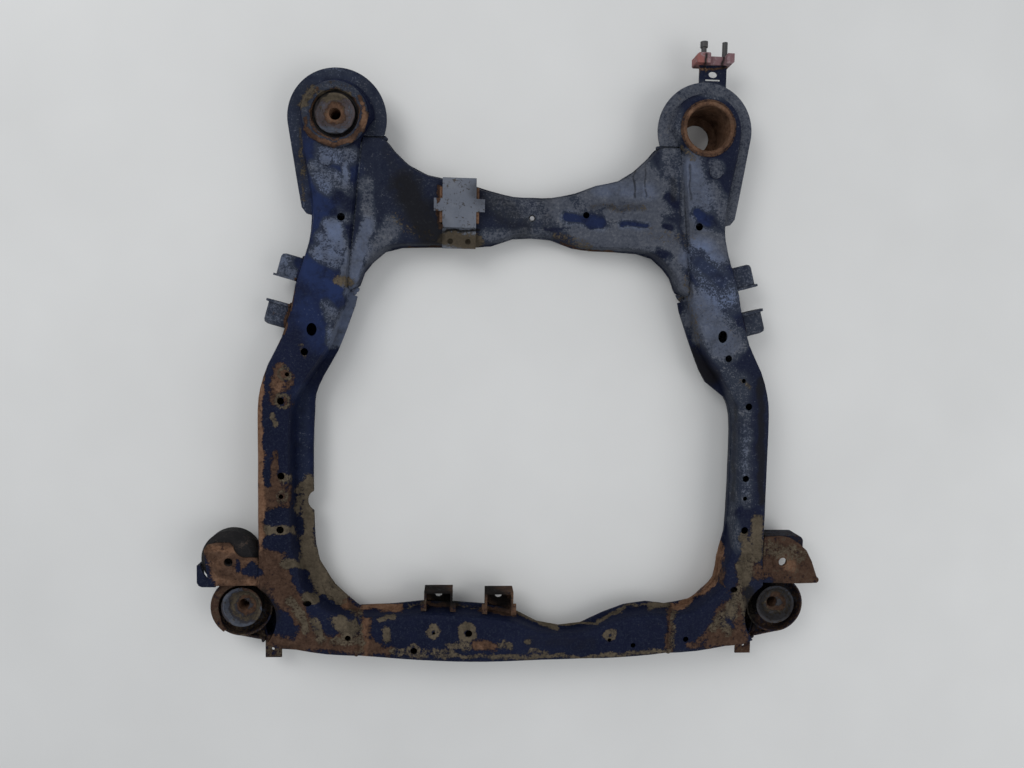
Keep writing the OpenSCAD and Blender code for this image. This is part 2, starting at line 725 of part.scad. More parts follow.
// Right ear plate, a rounded fin with a stamped ring round its hole
module right_corner_ear() {
    y = ear_hole_y;
    color([0.4, 0.28, 0.17])
        difference() {
            union() {
                translate([0, 0, ear_z - ear_t])
                    linear_extrude(ear_t)
                        union() {
                            polygon([[rail_x - 10, y - 35], [rail_x - 10, y + 41], [ear(0.29), y + 43], [ear(0.45), y + 40],
                                [ear(0.61), y + 31], [ear(0.755), y + 19], [ear(0.857), y + 1], [half_w - 4, y - 25],
                                [half_w, y - 31], [half_w - 5, y - 36], [ear(0.63), y - 37]]);
                            translate([half_w - 5, y - 31]) circle(r = 5);
                        }
                translate([right_ear_hole_x, y, ear_z - 0.5])
                    rotate_extrude()
                        polygon([[ear_hole_d / 2 - 1, 0], [18, 0], [16, 2], [ear_hole_d / 2 - 1, 2.5]]);
            }
            rail_body(fit_gap - lip_w);
            at_mount(right_ear_hole_x, y) cylinder(d = ear_hole_d, h = 100, $fn = 32);
        }
}

module left_buffer() {
    color([0.045, 0.045, 0.05])
        difference() {
            translate([-ear_hole_x, ear_hole_y + 3, ear_z - ear_t - fit_gap - buffer_h])
                rotate_extrude()
                    polygon([[8, 0], [buffer_r - 5, 0], [buffer_r, 5], [buffer_r, buffer_h - 8],
                        [buffer_r - 8, buffer_h], [8, buffer_h]]);
            mirror([1, 0, 0]) rail_body(fit_gap);
            at_mount(-front_mount_x, front_mount_y) cylinder(r = cup_r + fit_gap, h = 100);
        }
}

// Folded clip on the outer side of the left buffer
module left_stop_clip() {
    top = ear_z - ear_t - fit_gap;
    y = ear_hole_y;
    t = bracket_t;
    color([0.1, 0.13, 0.24])
        difference() {
            union() {
                translate([0, 0, top - t])
                    linear_extrude(t)
                        polygon([[-half_w, y - 6], [-half_w, y - 34], [3 - half_w, y - 39], [8 - half_w, y - 41],
                            [29 - half_w, y - 41], [29 - half_w, y - 6]]);
                translate([-half_w, y - 34, top - 26]) cube([t, 28, 26]);
            }
            translate([-ear_hole_x, ear_hole_y + 3, 0]) cylinder(r = buffer_r + fit_gap, h = 100);
            at_mount(-front_mount_x, front_mount_y) cylinder(r = cup_r + fit_gap, h = 100);
        }
}

// Folded stop on the right corner, under the ear plate
module right_stop_bracket() {
    top = ear_z - ear_t - fit_gap;
    y = ear_hole_y;
    w = 0.61 * ear_reach;
    color([0.13, 0.12, 0.12])
        difference() {
            translate([rail_x - 2, y - 31, top - 38])
                linear_extrude(38)
                    union() {
                        square([w, 74]);
                        translate([w, 64]) circle(r = 10);
                        translate([w, 0]) square([10, 64]);
                    }
            translate([rail_x - 20, y - 31 + bracket_t, top - 39])
                cube([w + 28 - bracket_t, 74 - 2 * bracket_t, 39 - bracket_t]);
            rail_body(fit_gap);
            at_mount(front_mount_x, front_mount_y) cylinder(r = cup_r + fit_gap, h = 100);
            at_mount(right_ear_hole_x, y) cylinder(d = ear_hole_d + 2, h = 100, $fn = 32);
        }
}

// Half profile of a pressed control-arm ear: closed plate at the gap, hollow nose behind it
module ear_half() {
    r = arm_ear_r;
    t = bracket_t;
    l = arm_ear_len;
    n = arm_nose_r;
    h = arm_hole_d / 2;
    e = arm_hole_d / 2 + 2;
    polygon([[h, 0], [r + arm_lip, 0], [r + arm_lip, t], [r, t], [r, l - n], [r - 0.29 * n, l - 0.29 * n],
        [r - n, l], [e, l], [e, l - t], [r - n, l - t], [r - t - 0.29 * (n - t), l - t - 0.29 * (n - t)],
        [r - t, l - n], [r - t, t], [h, t]]);
}

// Same profile across the whole ear, without the bolt hole
module ear_full() {
    r = arm_ear_r;
    t = bracket_t;
    l = arm_ear_len;
    n = arm_nose_r;
    k = t + 0.29 * (n - t);
    difference() {
        polygon([[-r - arm_lip, 0], [r + arm_lip, 0], [r + arm_lip, t], [r, t], [r, l - n],
            [r - 0.29 * n, l - 0.29 * n], [r - n, l], [n - r, l], [0.29 * n - r, l - 0.29 * n], [-r, l - n],
            [-r, t], [-r - arm_lip, t]]);
        polygon([[t - r, t], [r - t, t], [r - t, l - n], [r - k, l - k], [r - n, l - t],
            [n - r, l - t], [k - r, l - k], [t - r, l - n]]);
    }
}

// One ear standing off the rail, its mouth plate towards the gap
module arm_ear(dir) {
    difference() {
        translate([arm_x, arm_y, arm_z])
            rotate([0, 0, arm_slant])
                scale([1, dir, 1])
                    translate([0, arm_gap / 2, 0])
                        difference() {
                            union() {
                                rotate([-90, 0, 0])
                                    rotate([0, 0, -90])
                                        rotate_extrude(angle = 180)
                                            ear_half();
                                rotate([0, -90, 0])
                                    linear_extrude(40)
                                        ear_full();
                            }
                            rotate([-90, 0, 0])
                                translate([0, 0, -1])
                                    cylinder(d = arm_hole_d, h = bracket_t + 2, $fn = 48);
                            rotate([-90, 0, 0])
                                translate([0, 0, bracket_t + 2])
                                    cylinder(d = arm_hole_d + 4, h = arm_ear_len, $fn = 48);
                        }
        rail_body(fit_gap);
    }
}

module left_arm_ear_rear() {
    color([0.12, 0.15, 0.26])
        mirror([1, 0, 0])
            arm_ear(1);
}

module left_arm_ear_front() {
    color([0.12, 0.15, 0.26])
        mirror([1, 0, 0])
            arm_ear(-1);
}

module right_arm_ear_rear() {
    color([0.12, 0.15, 0.26])
        arm_ear(1);
}

module right_arm_ear_front() {
    color([0.12, 0.15, 0.26])
        arm_ear(-1);
}

// Space taken by the front crossmember and its seam flange, used to trim the channels
module bar_body(g) {
    q = smooth(bar(seam_z, face_z, 0), 2);
    n = len(q) - 1;
    front = [for (i = [n : -1 : 0]) [q[i][0], q[i][1]]];
    translate([0, 0, -1])
        linear_extrude(face_z + 20)
            polygon(concat([for (i = [0 : n]) [q[i][2], q[i][3] + g]], front));
    translate([0, 0, seam_z - sheet_t - 2 * g])
        linear_extrude(2 * sheet_t + 4 * g)
            polygon(concat([for (i = [0 : n]) [q[i][2], q[i][3] + q[i][4] + g]], front));
}

// Open-topped channel welded to the front crossmember's inner wall
module mount_channel(x, y) {
    t = bracket_t;
    h = front_cross_z - 10 - channel_z;
    difference() {
        translate([x - channel_w / 2, y - 12, channel_z])
            difference() {
                union() {
                    translate([5, 0, 0]) cube([channel_w - 10, channel_d + 12, h]);
                    translate([0, 0, h - t]) cube([channel_w, 0.7 * channel_d, t]);
                }
                translate([5 + t, -1, t]) cube([channel_w - 10 - 2 * t, channel_d + 13 - t, h]);
                translate([channel_w / 2, channel_d / 2 + 12, -1]) cylinder(d = 12, h = 10, $fn = 32);
            }
        bar_body(fit_gap);
    }
}

module left_mount_channel() {
    color([0.2, 0.15, 0.12])
        mount_channel(channel_a_x, front_mount_y + 2);
}

module right_mount_channel() {
    color([0.2, 0.15, 0.12])
        mount_channel(channel_b_x, front_mount_y);
}

// Folded base under the rear bracket, its two walls standing on the crossmember's face
module rear_bracket_base() {
    w = rear_bracket_w + 9;
    t = bracket_t;
    x0 = rear_bracket_x - w / 2;
    x1 = rear_bracket_x + w / 2;
    top = rear_bracket_z - 3 - fit_gap;
    z0 = cross_face(x0) + fit_gap;
    z1 = cross_face(x1 - t) + fit_gap;
    color([0.55, 0.25, 0.1])
        translate([0, rear_bracket_y + rear_bracket_len - 14, 0])
            rotate([90, 0, 0])
                linear_extrude(rear_bracket_len - 22)
                    polygon([[x0, z0], [x0, top], [x1, top], [x1, z1], [x1 - t, z1], [x1 - t, top - t],
                        [x0 + t, top - t], [x0 + t, z0]]);
}

// Cross-shaped plate with a stepped tab that carries two holes
module rear_bracket() {
    x = rear_bracket_x;
    w = rear_bracket_w;
    y = rear_bracket_y;
    z = rear_bracket_z;
    foot = cross_face(x - w / 2) + fit_gap;
    color([0.45, 0.46, 0.48])
        difference() {
            union() {
                translate([x, 0, z - 3])
                    linear_extrude(3)
                        union() {
                            translate([-w / 2, y]) square([w, rear_bracket_len]);
                            translate([-rear_bracket_ears_w / 2, y + 0.325 * rear_bracket_len])
                                square([rear_bracket_ears_w, 0.26 * rear_bracket_len]);
                        }
                translate([x - w / 2, y, foot]) cube([w, 3, z - foot]);
                translate([x - w / 2, y - rear_tab_len, foot]) cube([w, rear_tab_len + 3, 3]);
            }
            for (s = [-0.5, 0.5])
                translate([x + s * tab_hole_pitch, y - rear_tab_len + 11, foot - 1])
                    cylinder(d = tab_hole_d, h = 5, $fn = 32);
        }
}

// Small tab welded under the seam lip at a front corner
module front_tab() {
    t = 3;
    difference() {
        translate([rail_x - 19, front_edge_y + 20, seam_z - sheet_t - 2 * fit_gap - t])
            linear_extrude(t)
                difference() {
                    translate([-13, -19]) square([26, 40]);
                    translate([1, -5]) circle(d = front_tab_hole_d, $fn = 24);
                }
        rail_body(fit_gap - lip_w);
        at_mount(front_mount_x, front_mount_y) cylinder(r = cup_r + fit_gap, h = 100);
    }
}

module left_front_tab() {
    color([0.25, 0.2, 0.17])
        mirror([1, 0, 0])
            front_tab();
}

module right_front_tab() {
    color([0.25, 0.2, 0.17])
        front_tab();
}

// Strap that carries the hanger block under the right rear plate
module hanger_bracket() {
    y = rear_mount_y + mount_r + 4;
    z = plate_z - plate_t - fit_gap;
    color([0.1, 0.12, 0.2])
        translate([rear_mount_x + 11, 0, z - 3])
            linear_extrude(3)
                difference() {
                    translate([-22, y]) square([44, hanger_y - y + 8]);
                    translate([0, hanger_y - 14]) scale([1.4, 1]) circle(d = 10, $fn = 32);
                    translate([-12, hanger_y - 24]) square([24, 3]);
                }
}

// Saddle-shaped block with two raised lobes
module hanger_block() {
    z = plate_z - plate_t - fit_gap - 3;
    x = rear_mount_x + 11;
    w = hanger_w;
    color([0.62, 0.24, 0.16])
        difference() {
            translate([x, hanger_y, z - 14])
                linear_extrude(30)
                    polygon([[-w / 2, 2], [2 - w / 2, 0], [w / 2 - 3, 0], [w / 2, 3], [w / 2, 16], [w / 2 - 11, 16],
                        [w / 2 - 12, 13], [-7, 13], [-9, 16], [4 - w / 2, 16], [-w / 2, 13]]);
            translate([x - 8, hanger_y - 1, z + 7]) cube([w / 2 - 4, 40, 20]);
            translate([rear_mount_x - 12, hanger_y - 1, z - fit_gap]) cube([46, 9 + 2 * fit_gap, 3 + 2 * fit_gap]);
            for (p = [x - 13.5, x + 20.5])
                translate([p, hanger_y + 5, z - 5]) rotate([-90, 0, 0]) cylinder(d = pin_d + 2 * fit_gap, h = 40, $fn = 32);
        }
}

module hanger_pins() {
    z = plate_z - plate_t - fit_gap - 8;
    x = rear_mount_x + 11;
    color([0.18, 0.2, 0.24])
        for (p = [x - 13.5, x + 20.5])
            translate([p, hanger_y + 5 + fit_gap, z])
                rotate([-90, 0, 0])
                    union() {
                        cylinder(d = pin_d, h = pin_end_y - hanger_y - 5 - fit_gap, $fn = 32);
                        if (p < x)
                            translate([0, 0, 25]) cylinder(d = pin_d + 3.5, h = pin_end_y - hanger_y - 30 - fit_gap, $fn = 32);
                    }
}

module locating_bosses() {
    color([0.3, 0.31, 0.33])
        for (s = [-1, 1])
            translate([s * (rear_mount_x + mount_r / 4), rear_mount_y - mount_r - 9, face_z + fit_gap])
                rotate_extrude($fn = 48)
                    polygon([[0, 0], [10.5, 0], [10.5, 1.5], [9.5, 2.5], [7, 2.5], [6.5, 1.8], [0, 1.8]]);
}

left_rail_lower();
right_rail_lower();
left_rail_upper();
right_rail_upper();
rear_cross_lower();
rear_cross_upper();
front_cross_lower();
front_cross_upper();
left_rear_plate();
right_rear_plate();
left_rear_tube();
right_rear_tube();
left_bush_ring();
left_bush_rubber();
left_bush_disc();
left_bush_sleeve();
left_front_cup();
right_front_cup();
left_front_rubber();
right_front_rubber();
left_front_washer();
right_front_washer();
left_front_sleeve();
right_front_sleeve();
left_corner_ear();
right_corner_ear();
left_buffer();
left_stop_clip();
right_stop_bracket();
left_arm_ear_rear();
left_arm_ear_front();
right_arm_ear_rear();
right_arm_ear_front();
left_mount_channel();
right_mount_channel();
rear_bracket_base();
rear_bracket();
left_front_tab();
right_front_tab();
hanger_bracket();
hanger_block();
hanger_pins();
locating_bosses();
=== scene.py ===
import math
from types import SimpleNamespace

import bmesh
import bpy
import numpy as np
from mathutils import Matrix, Vector


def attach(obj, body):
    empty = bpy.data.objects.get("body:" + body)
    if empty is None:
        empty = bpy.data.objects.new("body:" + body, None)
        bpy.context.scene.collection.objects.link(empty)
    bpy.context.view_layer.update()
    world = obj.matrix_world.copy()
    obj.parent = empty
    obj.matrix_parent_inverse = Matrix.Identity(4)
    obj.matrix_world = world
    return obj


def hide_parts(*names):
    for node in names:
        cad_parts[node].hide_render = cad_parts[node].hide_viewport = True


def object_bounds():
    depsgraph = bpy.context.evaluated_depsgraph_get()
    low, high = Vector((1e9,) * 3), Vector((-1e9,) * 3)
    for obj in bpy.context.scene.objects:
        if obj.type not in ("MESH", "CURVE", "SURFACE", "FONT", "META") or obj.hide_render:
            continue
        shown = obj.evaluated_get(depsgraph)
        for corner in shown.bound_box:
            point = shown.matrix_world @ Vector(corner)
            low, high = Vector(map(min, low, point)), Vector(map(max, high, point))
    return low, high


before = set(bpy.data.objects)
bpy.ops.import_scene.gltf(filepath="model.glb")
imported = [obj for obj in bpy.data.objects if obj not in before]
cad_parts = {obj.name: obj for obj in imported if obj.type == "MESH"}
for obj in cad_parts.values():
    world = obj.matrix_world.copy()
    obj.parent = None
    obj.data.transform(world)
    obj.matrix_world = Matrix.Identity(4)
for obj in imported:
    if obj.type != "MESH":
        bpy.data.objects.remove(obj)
cad_low, cad_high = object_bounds()

# Camera of the photograph, in the part's frame: pixels, degrees and metres
PICTURE_WIDTH, CENTRE, FOCAL = 1024.0, (512.0, 384.0), 769.0
SENSOR_MM = 36.0
TILT, SWING, ROLL = 4.0, 3.77945, -1.06756
SHIFT = np.array((0.012994, 0.025326, -1.216960))
ORIGIN = np.array((0.0, -0.020, 0.074))


def turn(axis, degrees):
    return np.array(Matrix.Rotation(math.radians(degrees), 3, axis))


LOOK = turn("X", TILT) @ turn("Y", SWING) @ turn("Z", ROLL)


def pixels(points):
    """Where points of the part, in metres, fall in the photograph."""
    q = (points - ORIGIN) @ LOOK.T + SHIFT
    u = CENTRE[0] - FOCAL * q[:, 0] / q[:, 2]
    v = CENTRE[1] + FOCAL * q[:, 1] / q[:, 2]
    return np.stack([u, v], 1)


def add_camera():
    data = bpy.data.cameras.new("camera")
    data.sensor_width = SENSOR_MM
    data.lens = SENSOR_MM * FOCAL / PICTURE_WIDTH
    data.clip_end = 100
    cam = bpy.data.objects.new("camera", data)
    pose = Matrix(LOOK.T.tolist()).to_4x4()
    pose.translation = Vector(ORIGIN - LOOK.T @ SHIFT)
    cam.matrix_world = pose
    bpy.context.scene.collection.objects.link(cam)
    bpy.context.scene.camera = cam


def ring(middle, radius, width, strength, parts=10):
    """A round stroke about a pixel."""
    turns = [2 * math.pi * i / parts for i in range(parts + 1)]
    at = [(middle[0] + radius * math.cos(a), middle[1] + radius * math.sin(a)) for a in turns]
    return [(*a, *b, width, strength) for a, b in zip(at, at[1:])]


# Middles of the round pieces, in the photograph's pixels
LEFT_BUSH_HOLE = (334.5, 113)
LEFT_BUSH_DISC = (335, 113)
LEFT_BUSH_RIM = (334, 114)
LEFT_BUSH_RING = (334, 115)
LEFT_WASHER_HOLE = (247, 604)
LEFT_WASHER_DISH = (246, 606)
LEFT_WASHER_RIM = (245, 607)
RIGHT_WASHER = (776, 602)
RIGHT_EAR_HOLE = (784, 562)
RIGHT_EAR_STAIN = (786, 562)

# Wear, soot and painted shade, and a painted sky reflection, as strokes in the photograph's pixels: start,
# end, half width, strength. A negative strength clears.
RUST = {
    "left rail, outer edge": (
        (296, 280, 284, 332, 1.7, .9), (284, 332, 266, 362, 2, .85), (266, 362, 260, 384, 3.2, .95),
        (260, 384, 259.5, 455, 3.4, 1), (260, 455, 261, 520, 4.8, 1), (263, 485, 266, 510, 7.5, .95),
        (262, 520, 264, 556, 5, 1),
    ),
    "left rail, round the holes": (
        (280, 371, 276, 390, 7.5, .9), (286, 374, 288, 376, 7, .85), (276, 392, 275, 400, 6, .8),
        (286, 400, 287, 402, 6, .72), (290, 384, 284, 388, 5, .72), (274, 455, 275, 476, 4.6, .85),
        (276, 482, 274, 508, 9, .85), (286, 488, 286, 506, 6.5, .74),
    ),
    "left corner": (
        (272, 560, 288, 600, 14, .95), (262, 558, 264, 580, 8, 1), (296, 604, 306, 640, 12, .9),
        (312, 640, 372, 646, 11, .95), (350, 612, 356, 640, 8, .6), (270, 641, 300, 647, 6, .95),
        (298, 612, 301, 640, 6, .95), (262, 600, 272, 610, 5, .8), (286, 575, 290, 598, 5, .95),
        (276, 645, 284, 656, 8, .4),
    ),
    "left corner, inner rim": (
        (322, 560, 332, 576, 3.4, .95), (332, 576, 348, 594, 3.4, .95), (326, 586, 346, 606, 4.5, .9),
        (330, 590, 354, 610, 6, 1), (346, 606, 362, 611, 4, .9),
    ),
    "left ear": ((230, 555, 258, 580, 22, .9),),
    "front crossmember, weld bands": (
        (366, 606, 364, 654, 5.5, .85), (352, 646, 390, 651, 6, .8), (672, 606, 669, 650, 5, .8),
    ),
    "front crossmember": (
        (366, 607, 398, 608, 4.4, 1), (424, 603, 456, 605, 2.6, .95), (482, 609, 518, 612, 3.4, 1),
        (476, 645, 494, 646, 5.2, .95),
    ),
    "right corner, inner rim": (
        (719, 545, 716, 575, 4.5, 1), (716, 575, 702, 595, 4.5, 1), (702, 595, 678, 607, 4, 1),
        (724, 560, 722, 585, 5, .7),
    ),
    "right corner": (
        (712, 640, 735, 640, 8, .92), (735, 632, 745, 640, 6, .85), (742, 605, 738, 630, 7, .8),
        (690, 646, 710, 646, 4, .7), (750, 560, 760, 578, 8, .8), (737, 566, 737, 600, 7, .8),
        (728, 592, 716, 626, 6, .85), (710, 630, 740, 636, 7, .95), (700, 640, 712, 630, 4, .8),
    ),
    "rear crossmember, lower lip": (
        (408, 249, 440, 248, 1.8, .7), (560, 244, 585, 250, 1.8, .7), (590, 251, 612, 253, 2.4, 1),
    ),
    "rear bracket's base": ((438, 186, 439, 200, 2.5, 1), (438, 212, 440, 226, 2.5, 1)),
    "front washers and right ear": (
        *ring(LEFT_WASHER_HOLE, 8, 3.2, .9, 20), *ring(RIGHT_WASHER, 7, 3.2, .8, 20),
        *ring(RIGHT_EAR_STAIN, 9, 3, .8),
    ),
    "left rear bush": (
        *ring(LEFT_BUSH_HOLE, 8, 4, .95, 20), *ring(LEFT_BUSH_RIM, 24, 1.5, .8, 20),
        (308, 130, 318, 140, 3, .95), (318, 140, 334, 144, 3, 1), (334, 144, 350, 140, 3, 1),
        (350, 140, 361, 130, 3, .95), (361, 130, 365, 114, 3.4, 1), (365, 114, 360, 98, 3, .9),
        (304, 118, 308, 130, 2, .8), (306, 100, 318, 88, 1.6, .8),
    ),
    "hanger bracket": ((694, 68.5, 733, 69, 1.4, .9),),
}
DIRT = {
    "left flange": (
        (309, 481, 308, 520, 7, 1), (307, 520, 308, 560, 8.5, 1), (300, 500, 297, 512, 4, .85),
        (302, 484, 300, 492, 4.5, .8), (310, 560, 322, 586, 9, 1), (322, 584, 338, 600, 8, 1),
        (313, 552, 326, 578, 7, 1), (326, 578, 342, 594, 6, 1), (315, 574, 322, 592, 5, 1),
    ),
    "left rail, round the holes": (
        *ring((285, 374), 6.5, 2, .7), *ring((283, 401), 6.5, 2, .75), *ring((282, 497), 5, 2.5, .6),
        (271, 530, 290, 530, 7, .95), (283, 478, 288, 480, 5, .7), (272, 414, 276, 425, 2.8, .85),
        (300, 345, 304, 356, 3.5, .5),
    ),
    "left corner": (
        (284, 565, 320, 566, 4.5, 1), (306, 597, 322, 600, 4.5, 1), (285, 562, 302, 566, 5, .85),
        (288, 600, 298, 610, 5, .75), (306, 598, 320, 598, 5, 1), (300, 612, 306, 630, 5, .8),
        (315, 622, 322, 640, 6, .8), (340, 624, 348, 630, 11, .95), (352, 614, 356, 626, 5, .8),
        (334, 642, 360, 641, 5, .7), (360, 612, 361, 652, 4, .6),
    ),
    "front crossmember, round the holes": (
        *ring((433, 632), 4.5, 3, .85), *ring((467, 633), 6.5, 3.4, 1), *ring((414, 651), 5, 3, .7),
        *ring((610, 634), 4, 2.6, .85),
    ),
    "front crossmember, patches": (
        (378, 620, 393, 617, 3, .9), (386, 631, 387, 639, 4.2, .9), (448, 646, 468, 646, 4, .72),
        (503, 645, 510, 647, 5, .72), (525, 641, 527, 641, 3.6, .85), (674, 612, 672, 646, 4, .65),
    ),
    "front crossmember, front edge": (
        (392, 652, 450, 654, 5, .62), (450, 656, 600, 657, 2.6, .75), (530, 651, 546, 652, 3, .6),
        (600, 656, 668, 651, 3, .75),
    ),
    "front crossmember, rear edge": (
        (408, 606, 424, 602, 2, .6), (455, 606, 480, 607, 1.6, .55), (520, 613, 540, 621, 3, .95),
        (540, 621, 556, 628, 3.2, .95), (556, 624, 598, 623, 1.6, .85), (598, 621, 624, 607, 2.4, .9),
        (624, 606, 648, 605, 2, .65), (650, 606, 668, 605, 3.4, .95),
    ),
    "right corner": (
        (757, 522, 757, 556, 6.5, 1), (746, 548, 744, 580, 9, .95), (735, 590, 730, 612, 8, .8),
        (744, 536, 742, 552, 6, .8), (752, 600, 748, 622, 6, .7), (724, 612, 712, 628, 5, .7),
        (722, 622, 727, 632, 6, .7), (742, 598, 746, 612, 5, .75), (768, 548, 800, 556, 10, .6),
        (700, 600, 688, 607, 3, .6), (752, 540, 750, 548, 8, .6), (738, 548, 740, 578, 5, .9),
    ),
    "right rail": (
        (686, 280, 697, 345, 5, .42), (704, 310, 730, 340, 16, .25), (742, 381, 748, 388, 4, .5),
        (683, 150, 692, 158, 4, .6),
    ),
    "rear crossmember": (
        (398, 222, 436, 240, 10, .4), (592, 207, 642, 209, 5, .42), (446, 238, 475, 243, 8, 1),
        (650, 232, 690, 240, 10, .35), (555, 236, 590, 246, 5, .55),
    ),
    "left horn and rear bush": (
        (338, 279, 350, 282, 5, .85), (300, 130, 304, 200, 2.6, .6), (322, 96, 347, 96, 6.5, .95),
        (303, 104, 312, 88, 5, .8),
    ),
    "front washers": (*ring(LEFT_WASHER_DISH, 13.5, 3, .75, 20), *ring(RIGHT_WASHER, 12, 3.5, .5)),
}
CLEAR = {
    "left rail": (
        (264, 473, 268, 484, 3.4, -1), (268, 514, 292, 513, 4.6, -1), (269, 521, 291, 521, 4.6, -1),
        (268, 543, 294, 547, 5, -1), (270, 540, 290, 538, 3.6, -1), (298, 521, 302, 532, 3.4, -1),
    ),
    "left corner": (
        (294, 572, 306, 572, 3.4, -1), (298, 580, 308, 584, 4.4, -1), (301, 589, 309, 590, 3.4, -1),
        (323, 598, 328, 603, 3, -1), (312, 609, 338, 611, 4.2, -1), (318, 604, 332, 603, 2.8, -1),
        (346, 614, 352, 616, 3, -.9), (326, 623, 331, 634, 3.8, -1), (274, 622, 294, 630, 5.4, -1),
        (280, 618, 289, 620, 4, -1), (272, 626, 277, 630, 3.6, -.9),
    ),
    "left ear and clip": (
        (236, 562, 238, 571, 2.6, -.8), (247, 570, 257, 572, 4.6, -1), (250, 565, 252, 567, 3, -1),
        (196, 560, 206, 584, 9, -.9),
    ),
    "front crossmember": ((374, 625, 378, 640, 3.4, -1), (366, 613, 378, 612, 3, -.9)),
    "right corner": (
        (684, 622, 704, 604, 8, -1), (704, 604, 722, 594, 7.5, -1), (690, 632, 702, 627, 6, -1),
        (728, 562, 732, 578, 5, -.95), (737, 545, 735, 560, 4, -.9), (756, 584, 768, 582, 4.6, -1),
        (728, 581, 732, 587, 3, -.8),
    ),
}
GREY = {
    "left rail": (
        (324, 152, 350, 156, 10, .62), (316, 168, 330, 190, 9, .64), (346, 150, 346, 186, 4, .8),
        (330, 176, 346, 190, 9, .52), (332, 226, 338, 244, 10, .86), (318, 252, 334, 260, 9, .78),
        (322, 236, 328, 250, 8, .7), (342, 206, 347, 218, 7, .66), (328, 304, 334, 318, 8, .66),
        (330, 330, 332, 344, 5, .7), (322, 158, 324, 160, 7, .9), (304, 390, 303, 480, 8, .2),
    ),
    # On the horn's lit inner flank the grey is partly chalked paint and partly painted light
    "left horn": (
        (366, 184, 368, 214, 8, .72), (368, 226, 360, 252, 7, 1.25), (360, 252, 352, 278, 7, 1.25),
        (348, 252, 343, 282, 4, 1.1), (352, 290, 338, 340, 7, 1.2), (392, 226, 374, 258, 10, .78),
    ),
    "left rear plate": (
        (316, 72, 350, 70, 8, .4), (296, 112, 298, 140, 5, .3), (300, 168, 306, 196, 5, .3),
    ),
    "rear crossmember": (
        (596, 190, 655, 196, 20, 1.1), (590, 236, 664, 236, 14, 1.15), (556, 204, 590, 236, 15, .95),
        (640, 172, 660, 200, 14, 1.05), (500, 200, 545, 214, 16, .56), (486, 236, 545, 236, 8, .66),
        (650, 215, 664, 240, 12, 1.1), (664, 240, 686, 262, 8, 1.0), (670, 262, 690, 296, 7, .85),
        (608, 214, 652, 217, 6, 1.0),
    ),
    "right rail, rear": (
        (672, 112, 670, 176, 10, .66), (692, 162, 700, 206, 12, .95), (686, 170, 690, 230, 6, 1.0),
        (712, 190, 730, 222, 10, .72), (700, 236, 722, 250, 14, .95), (696, 252, 728, 300, 16, .56),
        (704, 306, 722, 345, 18, .92), (694, 320, 734, 342, 12, .95), (690, 288, 698, 340, 5, 1.0),
        (716, 166, 718, 168, 7, .8),
    ),
    "right rail, front": (
        (712, 360, 740, 384, 12, .34), (747, 410, 745, 500, 5, .5), (747, 430, 746, 450, 6, .56),
        (738, 385, 740, 505, 15, .40), (745, 507, 749, 509, 4, .7), (732, 520, 738, 545, 7, .5),
    ),
    "right rear plate": ((700, 88, 738, 96, 8, .5), (744, 150, 742, 190, 5, .4)),
    "front washers": (
        *ring(LEFT_WASHER_RIM, 19.5, 2.4, 1.7, 20), (786, 590, 795, 600, 3, 1.2),
        (768, 588, 782, 586, 2, .8),
    ),
    "left rear bush": ((322, 129, 346, 132, 3, 1.3), *ring(LEFT_BUSH_DISC, 17, 3, .5)),
}
PAINT = {
    "rear crossmember": (
        (568, 217, 600, 222, 5.5, -1), (590, 226, 604, 224, 3.5, -.95), (622, 224, 646, 226, 2.8, -.95),
        (668, 196, 674, 205, 5, -.95), (666, 225, 671, 228, 3.4, -.95), (545, 229, 570, 228, 1.2, -.8),
        (660, 250, 668, 258, 5, -.7),
    ),
    "left rail": (
        (300, 262, 340, 300, 9, -.9), (338, 198, 346, 208, 7, -.7), (318, 200, 330, 206, 7, -.6),
    ),
    "right rail": (
        (697, 214, 706, 222, 6, -.95), (697, 358, 712, 378, 8, -1), (740, 512, 754, 514, 5, -.8),
        (700, 262, 722, 282, 8, -.5),
    ),
    "right corner": ((686, 628, 726, 596, 16, -1), (728, 560, 733, 582, 6, -1)),
}
# Blue: clean blue paint on the navy, and on the chalk a painted reflection of the sky
BLUE = {
    "left rail": (
        (304, 390, 303, 480, 9, .3), (314, 150, 346, 170, 14, .6), (318, 190, 330, 260, 16, .8),
        (312, 268, 336, 296, 16, 1), (304, 306, 322, 340, 14, .7), (334, 230, 334, 248, 10, .9),
    ),
    "left horn": ((352, 290, 340, 340, 8, .6), (366, 226, 356, 274, 8, .5)),
    "rear crossmember": (
        (568, 217, 600, 223, 6, .6), (622, 224, 646, 226, 4, .6), (600, 188, 650, 192, 8, .35),
    ),
    "right rail": (
        (692, 170, 704, 206, 12, .4), (697, 214, 706, 222, 7, .7), (700, 256, 724, 300, 16, 1),
        (704, 306, 722, 340, 16, .35), (745, 430, 745, 490, 5, .3),
    ),
    "left rear plate": ((316, 72, 350, 72, 10, .5), (292, 110, 296, 150, 6, .3)),
    "arm ears": (
        (280, 256, 292, 272, 10, .5), (742, 270, 748, 276, 10, .3), (266, 306, 284, 320, 10, .3),
    ),
}
